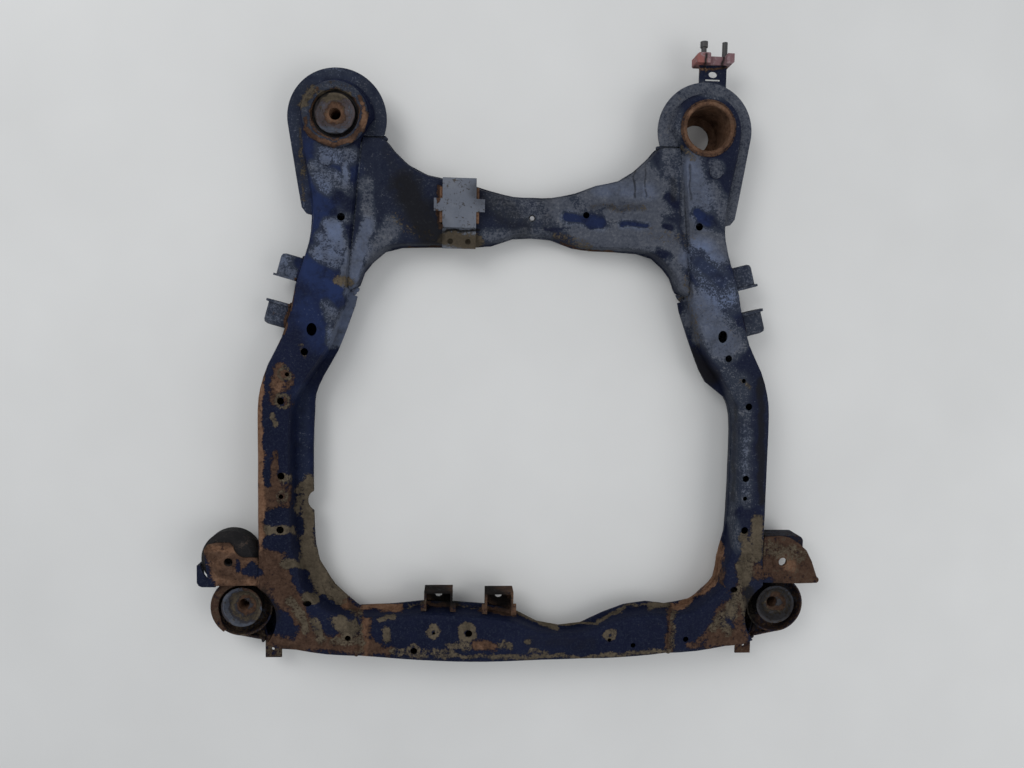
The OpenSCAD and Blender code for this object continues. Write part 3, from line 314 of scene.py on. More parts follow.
# Soot and painted shade: the dark left end, ridge and lower edge of the rear crossmember, the shadow line at
# the rear bracket's step, the right rail's seam and rolled edge, the crescents beside the front cups, the
# hanger block's grooves, the rings round the bushes and the front channels' insides are painted shade
SHADE_AND_SOOT = {
    "rear crossmember": (
        (404, 184, 432, 236, 16, .8), (482, 190, 520, 226, 16, .5), (388, 152, 396, 172, 9, .35),
        (634, 168, 634, 198, 1.2, .7), (645, 165, 646, 196, 1, .6), (560, 256, 600, 252, 1.5, .5),
        (592, 206, 640, 208, 4, .45), (545, 200, 548, 236, 9, .35), (672, 180, 674, 200, 4, .5),
    ),
    "rear bracket's foot": ((443, 231, 478, 231, 1.5, 1), (446, 238, 475, 243, 8, .45)),
    "right rail": (
        (690, 356, 712, 378, 9, .8), (761, 380, 761, 500, 4, .75), (682, 165, 681, 215, 1.6, .4),
        (681, 215, 692, 295, 1.6, .4), (690, 165, 691, 200, 1.2, .6), (735, 405, 733, 500, 2, .5),
    ),
    "beside the front cups": ((264, 592, 276, 616, 6, .7), (748, 590, 752, 625, 6, .8)),
    "hanger block's grooves": ((706, 53, 706, 69, 1.1, 1), (723, 52, 723, 69, 1.3, 1)),
    "round the bushes": (*ring(RIGHT_WASHER, 16, 5, .6), *ring(LEFT_BUSH_DISC, 22, 1.6, .9)),
    "front crossmember": (
        (428, 588, 452, 600, 9, .95), (486, 588, 506, 602, 9, .95), (528, 640, 590, 644, 8, .35),
    ),
}
HOT = {
    "left rail": ((261, 385, 258, 545, 6, 1), (280, 371, 276, 392, 7, .45)),
    "left ear": ((214, 548, 238, 551, 4, .8), (210, 581, 256, 582, 4, .5)),
    "left corner and weld band": (
        (366, 607, 398, 608, 5, .8), (365, 606, 364, 654, 5, .5), (326, 586, 346, 606, 5, .7),
    ),
    "front crossmember": ((510, 598, 514, 606, 5, 1), (476, 645, 494, 646, 6, .4)),
    "right corner and ear": (
        (719, 545, 702, 595, 8, 1), (702, 595, 678, 607, 7, 1), (786, 562, 787, 563, 9, .7),
    ),
    "left rear bush": (
        (322, 139, 352, 142, 4, .5), (362, 106, 364, 126, 4, .7), *ring(LEFT_BUSH_HOLE, 6, 5, .5, 20),
    ),
    "left washer": (*ring(LEFT_WASHER_HOLE, 8, 4, .35),),
    "right rear tube and hanger": ((690, 154, 720, 155, 4, .5), (694, 52, 702, 66, 8, 1)),
}
MASKS = {
    "rust": (RUST, CLEAR), "dirt": (DIRT, CLEAR), "grey": (GREY, PAINT),
    "soot": (SHADE_AND_SOOT,), "hot": (HOT,), "blue": (BLUE,),
}
CLEAN = (0, 0, 0, 0, 0)

# Pressed lines in the sheet: strokes as above, with the height in metres for a strength
PRESS = {
    "rear crossmember": ((592, 207, 642, 209, 5, -.0016), (596, 194, 650, 198, 5, .0009)),
    "front crossmember": (
        (470, 617, 512, 622, 3, .0009), (512, 622, 538, 633, 3, .0009), (540, 640, 640, 640, 6, .0007),
        (398, 624, 470, 622, 6, .0006),
    ),
    "right rail": (
        (748, 400, 746, 500, 4, .0009), (740, 410, 737, 500, 3, -.0006), (700, 262, 722, 284, 6, -.0009),
        (690, 245, 720, 252, 4, .0008),
    ),
    "left rail": ((292, 400, 290, 470, 4, .0006), (318, 168, 332, 250, 6, .0006)),
    "right ear": ring(RIGHT_EAR_HOLE, 8.5, 2.4, .0014, 20),
    "left bush ring": (*ring(LEFT_BUSH_RING, 25.5, 1.4, -.0012), *ring(LEFT_BUSH_RING, 29.5, 1.2, -.0008)),
}
PRESSED = ("_lower", "_ring", "_corner_ear")

# A stroke is full out to half of its half width, and gone at this many half widths
STROKE_END = 1.5


def strokes(uv, tables, start=0.0, add=False):
    """How strongly the strokes touch each pixel. With add, the higher or deeper stroke counts."""
    out = np.full(len(uv), float(start))
    for u0, v0, u1, v1, w, k in (s for table in tables for group in table.values() for s in group):
        far = STROKE_END * w
        near = np.flatnonzero((uv[:, 0] > min(u0, u1) - far) & (uv[:, 0] < max(u0, u1) + far)
                              & (uv[:, 1] > min(v0, v1) - far) & (uv[:, 1] < max(v0, v1) + far))
        if not len(near):
            continue
        p, d = uv[near] - np.array((u0, v0), float), np.array((u1 - u0, v1 - v0), float)
        t = np.clip((p @ d) / max(d @ d, 1e-9), 0, 1)
        f = np.clip(STROKE_END - np.linalg.norm(p - t[:, None] * d, axis=1) / w, 0, 1)
        if add:
            out[near] = np.where(abs(k * f) > abs(out[near]), k * f, out[near])
        else:
            out[near] = np.maximum(out[near], k * f) if k > 0 else out[near] * (1 + k * f)
    return out


def lattice(p, size, seed):
    """Smooth noise from -1 to 1 at points p, with cells of that size."""
    q = p / size + 37.0
    i = np.floor(q).astype(np.int64)
    f = q - i
    f = f * f * (3 - 2 * f)
    out = np.zeros(len(p))
    for c in range(8):
        b = np.array((c & 1, c >> 1 & 1, c >> 2))
        h = (i + b) @ np.array((73856093, 19349663, 83492791)) + seed * 9176
        h = (h ^ (h >> 13)) * 1274126177
        v = ((h ^ (h >> 16)) & 0xFFFF) / 32767.5 - 1
        out += v * np.prod(np.where(b, f, 1 - f), axis=1)
    return out


def paint_masks(me, base):
    """Write the wear, the soot and painted shade and the painted sky reflection to the mesh, with the
    strokes' edges made uneven. Blue starts at none.
    """
    co = np.zeros(len(me.vertices) * 3)
    me.vertices.foreach_get("co", co)
    co = co.reshape(-1, 3)
    uv = pixels(co)
    for size, reach, seed in ((.016, 2.0, 5), (.007, 1.1, 15)):
        uv = uv + reach * np.stack([lattice(co, size, seed), lattice(co, size, seed + 1)], 1)
    for (name, tables), start in zip(MASKS.items(), (*base, 0)):
        values = strokes(uv, tables, start).astype(np.float32)
        me.attributes.new(name, "FLOAT", "POINT").data.foreach_set("value", values)


# Faces that look up are divided finely, the others this many times more coarsely
LOOKS_UP, COARSER = .02, 4


def split_edges(bm, longest):
    """Divide the edges that are longer."""
    for _ in range(9):
        bm.normal_update()
        long = [e for e in bm.edges if e.calc_length() > longest]
        long = [e for e in long if e.calc_length() > COARSER * longest
                or any(f.normal.z > LOOKS_UP for f in e.link_faces)]
        if not long:
            break
        bmesh.ops.subdivide_edges(bm, edges=long, cuts=1, use_grid_fill=False)
        bmesh.ops.triangulate(bm, faces=bm.faces)


SHARP = math.radians(40)


def shade(bm):
    """Smooth faces, with the sharp edges of the pressing kept."""
    for f in bm.faces:
        f.smooth = True
    for e in bm.edges:
        e.smooth = len(e.link_faces) == 2 and e.calc_face_angle(9.0) < SHARP


def dent_sheet(bm, dent, press):
    """Move the points along their normals: broad and small dents, and the pressed lines of the top."""
    p = np.array([v.co for v in bm.verts])
    n = np.array([v.normal for v in bm.verts])
    d = dent * (.6 * lattice(p, .075, 1) + .4 * lattice(p, .03, 2))
    if press:
        d = d + strokes(pixels(p), (PRESS,), add=True) * (n[:, 2] > .8)
    for v, c in zip(bm.verts, p + n * d[:, None]):
        v.co = c


def dress(node, material, base, edge, dent=0.0):
    """A finely divided copy of a node, worn and darkened with painted shade as the photograph shows, that
    stands for it.
    """
    me = bpy.data.meshes.new(node + "_finish")
    bm = bmesh.new()
    bm.from_mesh(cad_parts[node].data)
    bmesh.ops.remove_doubles(bm, verts=bm.verts, dist=2e-6)
    shade(bm)
    split_edges(bm, edge)
    bm.normal_update()
    if dent:
        dent_sheet(bm, dent, node.endswith(PRESSED))
    bm.to_mesh(me)
    bm.free()
    place(me, material, base, node)


def place(me, material, base, node=None):
    paint_masks(me, base)
    me.materials.append(material)
    piece = bpy.data.objects.new(me.name, me)
    bpy.context.scene.collection.objects.link(piece)
    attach(piece, "root")
    if node:
        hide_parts(node)


def make(name, material, points, faces, base, thick=0.0):
    """A piece that only the scene has, from its points and faces."""
    me = bpy.data.meshes.new(name)
    me.from_pydata([tuple(p) for p in points], [], faces)
    bm = bmesh.new()
    bm.from_mesh(me)
    if thick:
        bmesh.ops.solidify(bm, geom=bm.faces, thickness=thick)
        split_edges(bm, .003)
    bmesh.ops.recalc_face_normals(bm, faces=bm.faces)
    for f in bm.faces:
        f.smooth = True
    bm.to_mesh(me)
    bm.free()
    place(me, material, base)


def skin(points, faces, rings):
    """Add a closed skin over rings of points."""
    first, sides = len(points), len(rings[0])
    for r in rings:
        points.extend(r)
    for j in range(len(rings) - 1):
        for i in range(sides):
            a, b = first + j * sides + i, first + j * sides + (i + 1) % sides
            faces.append((a, b, b + sides, a + sides))
    faces.append(tuple(range(first + sides - 1, first - 1, -1)))
    faces.append(tuple(range(len(points) - sides, len(points))))


def bead_rings(seed, path, radius, across, sides=10, steps=2.8):
    """Rings of a rippled bead along a path, with that many steps to a radius."""
    run = np.r_[0, np.cumsum(np.linalg.norm(np.diff(path, axis=0), axis=1))]
    at = np.linspace(0, run[-1], max(6, int(run[-1] / radius * steps)))
    mid = np.stack([np.interp(at, run, path[:, k]) for k in range(3)], 1)
    ahead = np.gradient(mid, axis=0)
    side = np.cross(ahead, across)
    up = np.cross(side, ahead)
    side, up = (x / np.linalg.norm(x, axis=1)[:, None] for x in (side, up))
    swell = 1 + .15 * np.sin(at / radius * 3.6 + seed) + .16 * lattice(mid, .008, seed)
    swell *= np.sqrt(np.clip(np.minimum(at, run[-1] - at) / radius, .03, 1)) * radius
    turns = [2 * math.pi * i / sides for i in range(sides)]
    return [[c + r * (math.cos(a) * s + math.sin(a) * u) for a in turns]
            for c, s, u, r in zip(mid, side, up, swell)]


def weld(name, material, beads, base):
    """Weld beads, each a path, a radius and a direction across it, half sunk in what they join."""
    points, faces = [], []
    for seed, (path, radius, across) in enumerate(beads):
        skin(points, faces, bead_rings(seed, np.array(path, float), radius, np.array(across, float)))
    make(name, material, points, faces, base)


def hood(name, material, about, turns, radii, heights, base, steps=48, across=6):
    """The pressed lip of the sheet round a washer, from one angle to the other."""
    points, faces = [], []
    for i in range(steps + 1):
        a = math.radians(turns[0] + (turns[1] - turns[0]) * i / steps)
        fade = min(1.0, 6 * i / steps, 6 * (steps - i) / steps)
        for j in range(across):
            f = j / (across - 1)
            r = radii[1] - (radii[1] - radii[0]) * f * (.25 + .75 * fade)
            z = heights[0] + (heights[1] - heights[0]) * math.sin(math.pi * (.15 + .6 * f))
            points.append((about[0] + r * math.cos(a), about[1] + r * math.sin(a), z))
    for i in range(steps):
        for j in range(across - 1):
            a = i * across + j
            faces.append((a, a + 1, a + across + 1, a + across))
    make(name, material, points, faces, base, thick=.002)


def stud(name, material, at, profile, sides=24):
    """A small turned stud end."""
    points, faces = [], []
    turns = [2 * math.pi * i / sides for i in range(sides)]
    skin(points, faces, [[(at[0] + r * math.cos(a), at[1] + r * math.sin(a), z) for a in turns]
                         for r, z in profile])
    make(name, material, points, faces, CLEAN)


class Nodes:
    """Short ways to write a material's node tree."""

    def __init__(self, name):
        self.material = bpy.data.materials.new(name)
        self.material.use_nodes = True
        self.tree = self.material.node_tree
        self.shader = self.tree.nodes["Principled BSDF"]
        self.object = self.tree.nodes.new("ShaderNodeTexCoord").outputs["Object"]

    def link(self, value, socket):
        if isinstance(value, bpy.types.NodeSocket):
            self.tree.links.new(value, socket)
        elif isinstance(value, tuple) and len(value) == 3 and socket.type == "RGBA":
            socket.default_value = (*value, 1)
        else:
            socket.default_value = value

    def noise(self, scale, detail=4.0, rough=.6, bend=0.0, stretch=None):
        n = self.tree.nodes.new("ShaderNodeTexNoise")
        where = self.object
        if stretch:
            m = self.tree.nodes.new("ShaderNodeMapping")
            m.inputs["Scale"].default_value = stretch
            self.tree.links.new(where, m.inputs["Vector"])
            where = m.outputs["Vector"]
        self.tree.links.new(where, n.inputs["Vector"])
        n.inputs["Scale"].default_value = scale
        n.inputs["Detail"].default_value = detail
        n.inputs["Roughness"].default_value = rough
        n.inputs["Distortion"].default_value = bend
        return n.outputs["Fac"]

    def cells(self, scale):
        n = self.tree.nodes.new("ShaderNodeTexVoronoi")
        self.tree.links.new(self.object, n.inputs["Vector"])
        n.inputs["Scale"].default_value = scale
        return n.outputs["Distance"]

    def attribute(self, name):
        n = self.tree.nodes.new("ShaderNodeAttribute")
        n.attribute_name = name
        return n.outputs["Fac"]

    def math(self, how, a, b=0.0, c=0.0):
        n = self.tree.nodes.new("ShaderNodeMath")
        n.operation = how
        for value, socket in zip((a, b, c), n.inputs):
            self.link(value, socket)
        return n.outputs[0]

    def sum(self, *terms):
        """Sum of (socket, weight) pairs and numbers."""
        out = sum(t for t in terms if not isinstance(t, tuple))
        for socket, weight in (t for t in terms if isinstance(t, tuple)):
            out = self.math("MULTIPLY_ADD", socket, weight, out)
        return out

    def step(self, value, low, high):
        n = self.tree.nodes.new("ShaderNodeMapRange")
        n.interpolation_type = "SMOOTHSTEP"
        self.link(value, n.inputs["Value"])
        n.inputs["From Min"].default_value = low
        n.inputs["From Max"].default_value = high
        return n.outputs["Result"]

    def mix(self, factor, a, b):
        """Mix of two colours."""
        n = self.tree.nodes.new("ShaderNodeMix")
        n.data_type = "RGBA"
        self.link(factor, n.inputs["Factor"])
        self.link(a, n.inputs[6])
        self.link(b, n.inputs[7])
        return n.outputs[2]

    def blend(self, factor, a, b):
        """Mix of two numbers."""
        n = self.tree.nodes.new("ShaderNodeMix")
        self.link(factor, n.inputs["Factor"])
        self.link(a, n.inputs[2])
        self.link(b, n.inputs[3])
        return n.outputs[0]

    def ramp(self, value, *stops):
        n = self.tree.nodes.new("ShaderNodeValToRGB")
        while len(n.color_ramp.elements) < len(stops):
            n.color_ramp.elements.new(.5)
        for e, (at, colour) in zip(n.color_ramp.elements, stops):
            e.position = at
            e.color = (*colour, 1)
        self.link(value, n.inputs["Fac"])
        return n.outputs["Color"]

    def finish(self, colour, rough, height, reach, shine):
        bump = self.tree.nodes.new("ShaderNodeBump")
        bump.inputs["Strength"].default_value = 1.0
        bump.inputs["Distance"].default_value = reach
        self.link(height, bump.inputs["Height"])
        self.link(colour, self.shader.inputs["Base Color"])
        self.link(rough, self.shader.inputs["Roughness"])
        self.shader.inputs["Specular IOR Level"].default_value = shine
        self.tree.links.new(bump.outputs["Normal"], self.shader.inputs["Normal"])
        return self.material


# Coats of the steel, from dark to light stops, and single colours
NAVY = ((.25, (.0034, .0049, .0152)), (.75, (.0080, .0107, .0300)))
PLATE = ((.25, (.088, .099, .124)), (.50, (.122, .134, .163)), (.85, (.176, .184, .205)))
WASHER = ((.25, (.027, .026, .032)), (.75, (.058, .055, .062)))
DISC = ((.25, (.040, .032, .033)), (.75, (.085, .068, .070)))
METAL = ((.25, (.026, .026, .030)), (.75, (.060, .058, .062)))
CHALK = ((.25, (.038, .044, .060)), (.55, (.072, .079, .099)), (.85, (.150, .154, .168)))
EARTH = ((.25, (.039, .032, .022)), (.50, (.082, .066, .047)), (.80, (.142, .115, .079)))
BROWN = ((.2, (.018, .011, .008)), (.5, (.056, .032, .022)), (.85, (.110, .068, .047)))
ORANGE = ((.2, (.055, .027, .016)), (.5, (.142, .078, .048)), (.85, (.244, .152, .100)))
NAVY_SPECK, CLEAN_BLUE, FADED_NAVY = (.017, .022, .038), (.015, .026, .078), (.027, .033, .048)
# Chalk with a painted sky reflection, and the black of soot and painted shade
SKY_REFLECTION_ON_CHALK, SHADE_AND_SOOT_BLACK = (.110, .140, .225), (.009, .0085, .0085)

# In the functions of the steel, n is the node tree, t its noises and m its masks


def textures(n):
    """The noises that the wear is cut from."""
    return SimpleNamespace(
        big=n.noise(7, 3), mid=n.noise(48, 6, .65, .3), fine=n.noise(230, 5, .7),
        speck=n.noise(430, 3, .7), patch=n.noise(95, 6, .7, .5), drag=n.noise(60, 4, .6, 0, (.25, 2.2, 1)))


def covers(n, t, m):
    """How far chalk, mud and rust cover the coat."""
    cut = n.sum((m.grey, 1.0), (t.fine, 1.5), (t.speck, 1.6), (t.mid, .7), (t.drag, .5), -2.15)
    chalk = n.step(cut, .41, .75)
    mud, scale = (n.step(n.sum((mask, 1.0), (t.patch, 1.2), (t.fine, 1.5), (t.speck, .8), -1.75), .38, .76)
                  for mask in (m.dirt, m.rust))
    return chalk, mud, scale


def coat_colour(n, t, m, coat):
    paint = n.ramp(n.sum((t.big, .8), (t.mid, .5), -.15), *coat)
    if coat is not NAVY:
        return paint
    paint = n.mix(n.step(n.sum((t.fine, .6), (t.speck, .7)), .60, .86), paint, NAVY_SPECK)
    paint = n.mix(n.math("MULTIPLY", m.blue, n.step(t.mid, .25, .6)), paint, CLEAN_BLUE)
    return n.mix(n.math("MULTIPLY", n.step(m.grey, .08, .42), n.step(t.mid, .1, .6)), paint, FADED_NAVY)


def chalk_colour(n, t, m):
    pale = n.ramp(n.sum((t.fine, .9), (t.mid, .6), -.25), *CHALK)
    # Where the blue mask lies, the chalk takes a painted reflection of the sky
    return n.mix(n.math("MULTIPLY", m.blue, n.step(t.mid, .2, .7)), pale, SKY_REFLECTION_ON_CHALK)


def rust_colour(n, t, m):
    tone = n.sum((t.patch, .8), (t.fine, .7), -.25)
    fresh = n.step(n.sum((m.hot, 1.0), (t.mid, 1.2), -.6), .2, .8)
    return n.mix(fresh, n.ramp(tone, *BROWN), n.ramp(tone, *ORANGE))


def worn_height(n, t, chalk, mud, scale):
    """Bare and chalked coat is nearly smooth, rust is pitted and mud is lumpy."""
    pits = n.step(n.cells(330), .05, .45)
    height = n.math("MULTIPLY_ADD", chalk, -.10, n.sum((t.mid, .35), (t.speck, .05)))
    height = n.math("ADD", height, n.math("MULTIPLY", scale, n.sum((t.fine, .9), (pits, .25), .1)))
    return n.math("ADD", height, n.math("MULTIPLY", mud, n.sum((t.fine, .6), (t.patch, .4), .1)))


def steel(name, coat):
    """Coated pressed steel, chalked, muddied and rusted by the masks, which also paint shade, and a sky
    reflection on the chalk.
    """
    n = Nodes(name)
    t, m = textures(n), SimpleNamespace(**{mask: n.attribute(mask) for mask in MASKS})
    chalk, mud, scale = covers(n, t, m)
    colour = n.mix(chalk, coat_colour(n, t, m, coat), chalk_colour(n, t, m))
    colour = n.mix(scale, colour, rust_colour(n, t, m))
    colour = n.mix(mud, colour, n.ramp(n.sum((t.mid, .7), (t.fine, .6), -.15), *EARTH))
    # Soot and painted shade darken the colour towards black
    shade_and_grime = n.math("MULTIPLY", m.soot, n.step(n.sum((t.mid, 1.0), (m.soot, .5)), .45, .85))
    colour = n.mix(shade_and_grime, colour, SHADE_AND_SOOT_BLACK)
    rough = n.blend(chalk, n.sum((t.fine, .25), (t.mid, .15), .34), .78)
    rough = n.blend(n.math("MAXIMUM", scale, mud), rough, .92)
    return n.finish(colour, rough, worn_height(n, t, chalk, mud, scale), .0011, .05)


def oxide_red():
    """Dull red primer of the hanger block, darkened with painted shade in its grooves, and chipped."""
    n = Nodes("red_oxide")
    mid, fine, big = n.noise(70, 5, .65, .4), n.noise(320, 4, .7), n.noise(25, 2)
    red = n.ramp(n.sum((big, .7), (mid, .5), -.1), (.3, (.135, .070, .078)), (.7, (.205, .118, .128)))
    red = n.mix(n.attribute("hot"), red, (.235, .085, .075))
    worn = n.mix(n.step(n.sum((mid, 1.0), (fine, .7)), .86, 1.0), red, (.230, .165, .172))
    dark = n.mix(n.step(n.sum((fine, 1.0), (mid, .6)), .97, 1.1), worn, (.035, .022, .020))
    dark = n.mix(n.attribute("rust"), dark, (.040, .020, .014))
    # Painted shade in the grooves, from the soot and shade mask
    dark = n.mix(n.attribute("soot"), dark, (.012, .009, .009))
    return n.finish(dark, n.sum((fine, .3), .58), n.sum((mid, .6), (fine, .5)), .0009, .25)


def rubber():
    """Weathered black rubber with dust in its pores."""
    n = Nodes("old_rubber")
    mid, fine = n.noise(50, 5, .7), n.noise(400, 4, .7)
    black = n.ramp(n.sum((mid, .7), (fine, .5), -.1), (.3, (.0045, .0042, .0052)), (.8, (.016, .0145, .015)))
    dust = n.step(n.sum((mid, 1.0), (fine, .8)), .98, 1.20)
    colour = n.mix(dust, black, (.050, .036, .028))
    return n.finish(colour, n.sum((fine, .25), .62), n.sum((mid, .7), (fine, .5)), .0012, .18)


def dark_steel():
    """Oiled dark steel of the pins."""
    n = Nodes("dark_steel")
    mid, fine = n.noise(60, 5, .7), n.noise(420, 4, .7)
    metal = n.ramp(n.sum((mid, .7), (fine, .4), -.05), (.3, (.018, .019, .022)), (.8, (.075, .072, .070)))
    colour = n.mix(n.step(n.sum((mid, 1.0), (fine, .5)), .85, 1.0), metal, (.070, .034, .020))
    return n.finish(colour, n.sum((fine, .3), .40), n.sum((mid, .5), (fine, .5)), .0006, .4)


def bright_steel():
    """Clean zinc of the small stud."""
    n = Nodes("bright_steel")
    mid, fine = n.noise(90, 5, .7), n.noise(500, 4, .7)
    metal = n.ramp(n.sum((mid, .7), (fine, .4), -.05), (.3, (.20, .20, .21)), (.8, (.36, .36, .37)))
    return n.finish(metal, n.sum((fine, .3), .25), n.sum((mid, .5), (fine, .5)), .0003, .5)


# Floor and light, in metres. A lamp is its name, place, width and power.
FLOOR_HALF, FLOOR_DROP = 20, .0005
SKY, SKY_STRENGTH = (.93, .96, 1.0, 1), .55
LAMPS = (("key", (-1.6, 1.5, 2.4), 1.6, 33), ("fill", (2.0, -.6, 2.2), 2.0, 21))


def add_floor():
    me = bpy.data.meshes.new("floor")
    corners = [(x * FLOOR_HALF, y * FLOOR_HALF, 0) for x, y in ((-1, -1), (1, -1), (1, 1), (-1, 1))]
    me.from_pydata(corners, [], [(0, 1, 2, 3)])
    floor = bpy.data.objects.new("floor", me)
    floor.location.z = cad_low.z - FLOOR_DROP
    bpy.context.scene.collection.objects.link(floor)
    n = Nodes("pale_floor")
    tone = n.ramp(n.noise(3, 3), (.3, (.66, .66, .65)), (.7, (.70, .70, .69)))
    me.materials.append(n.finish(tone, .8, n.noise(400, 2), .0001, .2))


def add_light():
    world = bpy.data.worlds.new("world")
    bpy.context.scene.world = world
    world.use_nodes = True
    sky = world.node_tree.nodes["Background"]
    sky.inputs["Color"].default_value = SKY
    sky.inputs["Strength"].default_value = SKY_STRENGTH
    for name, spot, size, power in LAMPS:
        lamp = bpy.data.lights.new(name, "AREA")
        lamp.size = size
        lamp.energy = power
        o = bpy.data.objects.new(name, lamp)
        o.location = spot
        o.rotation_euler = (-Vector(spot)).to_track_quat("-Z", "Y").to_euler()
        bpy.context.scene.collection.objects.link(o)


# Weld beads in metres: path, radius, direction across. Both sides have those with no side in the name.
ALONG, BACK, UP = (1, 0, 0), (0, 1, 0), (0, 0, 1)
FRONT_JOINT = (((.2550, -.4895, .0400), (.2555, -.4880, .0640), (.2550, -.4830, .0715),
                (.2545, -.4560, .0722), (.2555, -.4310, .0715), (.2550, -.4258, .0640),
                (.2550, -.4245, .0420)), .0030, ALONG)
ARM_REAR = (((.3515, .1145, .0542), (.3455, .1320, .0542), (.3395, .1495, .0542)), .0024, UP)
ARM_FRONT = (((.3600, .0762, .0542), (.3655, .0580, .0542), (.3700, .0405, .0542)), .0024, UP)
HORN_FRONT = (((.2575, .1015, .033), (.2640, .0990, .033), (.2725, .0980, .033)), .0050, UP)
HORN_NOTCH = (((.2615, .0945, .033), (.2665, .0950, .033), (.2730, .0945, .033)), .0045, UP)
HORN_REAR = (((.2125, .3318, .050), (.2167, .3344, .050), (.2278, .3358, .050), (.2396, .3362, .050),
              (.2500, .3364, .050)), .0036, UP)
HORN_SEAM = (((.2526, .3270, .0605), (.2580, .2300, .0605), (.2650, .1650, .0605), (.2722, .1040, .0605)),
             .0038, UP)
CUP = (((.3950, -.4235, .022), (.4041, -.4423, .022), (.4115, -.4512, .022), (.4137, -.4618, .022),
        (.4125, -.4742, .022), (.4140, -.4830, .022)), .0045, UP)
LEFT_EAR = (((-.4112, -.3725, .0655), (-.4112, -.3300, .0655)), .0032, UP)
RIGHT_EAR = (((.4112, -.3700, .0655), (.4112, -.2945, .0655)), .0030, UP)

# The beads round the right rear tube and up both edges of the channels' feet
TUBE_AT, TUBE_RADIUS, TUBE_Z, TUBE_BEAD = (.290, .362), .0425, .0742, .0021
FEET, FOOT_HALF, FOOT_BEAD = ((-.125, -.4165), (-.026, -.4185)), .0215, .0026
FOOT_LOW, FOOT_HIGH, FOOT_LEAN = .036, .060, .0008


def both_sides(*beads):
    return [([(side * x, y, z) for x, y, z in path], radius, across)
            for side in (-1, 1) for path, radius, across in beads]


def seat_beads():
    """The bead round the tube, then those of the feet."""
    x, y = TUBE_AT
    turns = np.linspace(0, 2 * math.pi, 40)
    loop = [(x + TUBE_RADIUS * math.cos(a), y + TUBE_RADIUS * math.sin(a), TUBE_Z) for a in turns]
    beads = [(loop, TUBE_BEAD, UP)]
    for x, y in FEET:
        for edge in (x - FOOT_HALF, x + FOOT_HALF):
            beads.append(([(edge, y, FOOT_LOW), (edge, y - FOOT_LEAN, FOOT_HIGH)], FOOT_BEAD, BACK))
    return beads


# The fourth number of each base is soot and painted shade
def add_welds(material):
    weld("front_joint_welds", material, both_sides(FRONT_JOINT), (.7, .4, 0, 0, .2))
    weld("corner_ear_welds", material, (LEFT_EAR, RIGHT_EAR), (.8, .2, 0, .1, .4))
    weld("arm_ear_welds", material, both_sides(ARM_REAR, ARM_FRONT), (.35, .2, .1, .3, .2))
    weld("horn_end_welds", material, both_sides(HORN_FRONT, HORN_NOTCH, HORN_REAR), (.15, .35, .3, 0, .1))
    weld("horn_seam_welds", material, both_sides(HORN_SEAM), (.1, .1, .55, 0, .1))
    weld("cup_welds", material, both_sides(CUP), (.4, .3, 0, .6, .1))
    weld("seat_welds", material, seat_beads(), (.75, .2, .1, .2, .3))


# Pressed lip round the left front washer: place, angles in degrees, radii and heights
LIP_AT, LIP_TURNS, LIP_RADII, LIP_HEIGHTS = (-.440, -.413), (50, 235), (.0370, .0478), (.0470, .0530)

# Stud in the rear crossmember: place, then radius and height from its foot to its tip
STUD_AT = (.017, .219)
STUD_PROFILE = ((.0052, .0350), (.0052, .0385), (.0037, .0390), (.0037, .0425), (.0028, .0434),
                (.0010, .0436))

# Each node's rust, dirt, grey, soot and painted shade, and hot where no stroke is, its longest edge and its
# dents, in metres
PAINTED = {
    "left_rail_lower": ((0, 0, .08, 0, .1), .0034, .0004),
    "right_rail_lower": ((0, 0, .14, 0, .1), .0035, .0004),
    "rear_cross_lower": ((0, .04, .22, .1, .1), .0037, .0005),
    "front_cross_lower": ((0, 0, 0, 0, .1), .0034, .0004),
    "left_rail_upper": ((.22, .15, .12, 0, .2), .009, .0003),
    "right_rail_upper": ((.22, .15, .15, 0, .2), .009, .0003),
    "rear_cross_upper": ((.22, .15, .12, 0, .2), .009, .0003),
    "front_cross_upper": ((.26, .18, .10, 0, .2), .009, .0003),
    "left_rear_plate": ((.05, .05, .28, .1, .1), .0045, .0002),
    "right_rear_plate": ((.05, .20, .72, 0, .1), .0045, .0002),
    "left_arm_ear_rear": ((.15, .12, .68, 0, .2), .004, .0002),
    "left_arm_ear_front": ((.20, .12, .50, 0, .2), .004, .0002),
    "right_arm_ear_rear": ((.10, .10, .45, 0, .2), .004, .0002),
    "right_arm_ear_front": ((.10, .10, .45, 0, .2), .004, .0002),
    "left_stop_clip": ((.15, .10, .15, 0, .2), .004, .0002),
    "right_stop_bracket": ((.40, .20, .05, .5, .2), .005, .0002),
    "hanger_bracket": ((.15, .15, .15, .2, .1), .004, .0001),
    "locating_bosses": ((.05, .05, .60, 0, .1), .003, 0),
}
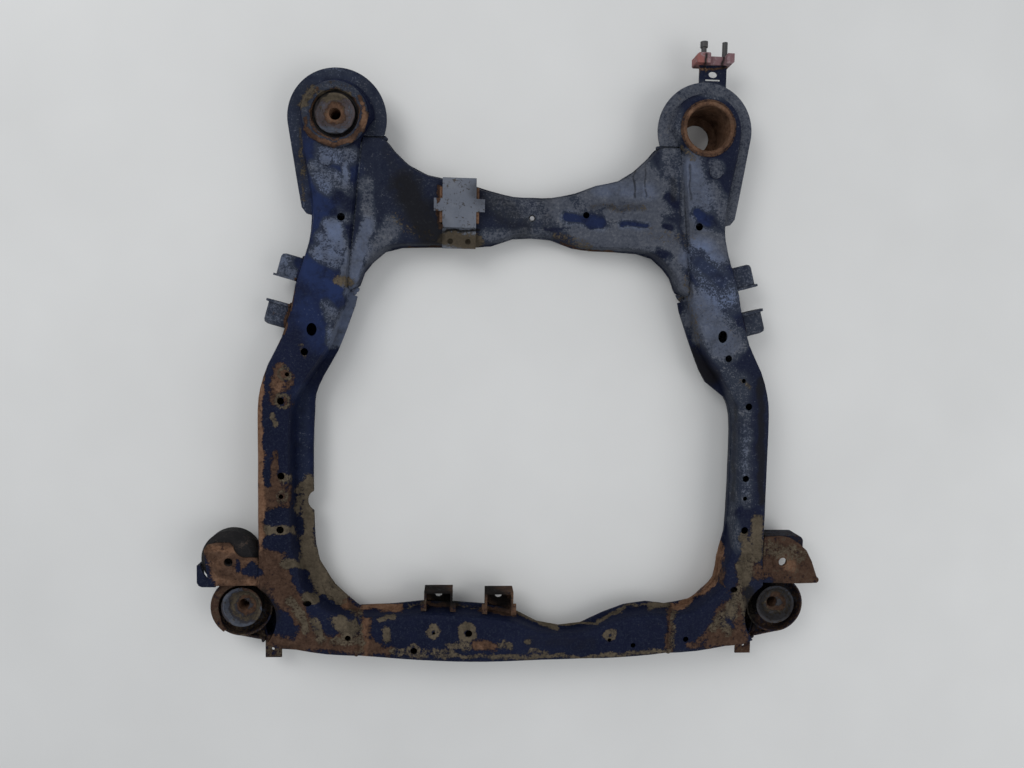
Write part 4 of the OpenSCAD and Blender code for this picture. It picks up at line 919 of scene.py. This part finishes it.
RUSTED = {
    "left_rear_tube": ((.95, .15, .05, .1, .5), .004, 0),
    "right_rear_tube": ((1.1, .12, .05, 0, .5), .004, 0),
    "left_bush_ring": ((.28, .22, .42, .25, .2), .0028, .0002),
    "left_bush_sleeve": ((1.0, .1, 0, 0, .8), .004, 0),
    "left_front_cup": ((.65, .45, .20, .2, .2), .004, .0003),
    "right_front_cup": ((.62, .30, .20, .3, .2), .004, .0003),
    "left_front_sleeve": ((1.0, .1, 0, .2, .6), .004, 0),
    "right_front_sleeve": ((1.0, .1, 0, .2, .4), .004, 0),
    "left_corner_ear": ((1.0, 0, .1, 0, .35), .0032, .0004),
    "right_corner_ear": ((.90, .3, .1, 0, .1), .0032, .0004),
    "left_mount_channel": ((.70, .3, 0, .35, .3), .004, .0002),
    "right_mount_channel": ((.75, .3, 0, .35, .4), .004, .0002),
    "rear_bracket_base": ((.95, .1, 0, .1, 1.0), .004, 0),
    "left_front_tab": ((.65, .5, 0, .1, .1), .004, .0002),
    "right_front_tab": ((.80, .3, 0, .1, .3), .004, .0002),
}
RUBBERS = ("left_bush_rubber", "left_front_rubber", "right_front_rubber", "left_buffer")


def dress_steel(metal):
    for group, slot in ((PAINTED, "painted_steel"), (RUSTED, "rusted_steel")):
        for node, (base, edge, dent) in group.items():
            dress(node, metal, base, edge, dent)


def dress_fittings():
    """The pieces that have a material of their own."""
    plate, pale = steel("dull_plate", PLATE), steel("pale_washer", WASHER)
    bare, dull = steel("bare_metal", METAL), steel("dull_disc", DISC)
    dress("left_bush_disc", dull, (.25, .30, .30, 0, .3), .002, .0001)
    dress("left_front_washer", pale, (.25, .30, 0, .1, .1), .002, .0001)
    dress("right_front_washer", bare, (.36, .30, .20, .1, .2), .003, .0001)
    dress("rear_bracket", plate, (.20, .28, 0, 0, .3), .003, .0002)
    dress("hanger_pins", dark_steel(), CLEAN, .004)
    dress("hanger_block", oxide_red(), CLEAN, .002, .0003)
    black = rubber()
    for node in RUBBERS:
        dress(node, black, CLEAN, .005, .0005)


def main():
    add_camera()
    bpy.context.scene.view_settings.view_transform = "Standard"
    metal = steel("worn_paint", NAVY)
    dress_steel(metal)
    dress_fittings()
    add_welds(metal)
    hood("left_cup_lip", metal, LIP_AT, LIP_TURNS, LIP_RADII, LIP_HEIGHTS, (.85, .35, 0, .1, .15))
    stud("cross_stud", bright_steel(), STUD_AT, STUD_PROFILE)
    add_floor()
    add_light()


main()
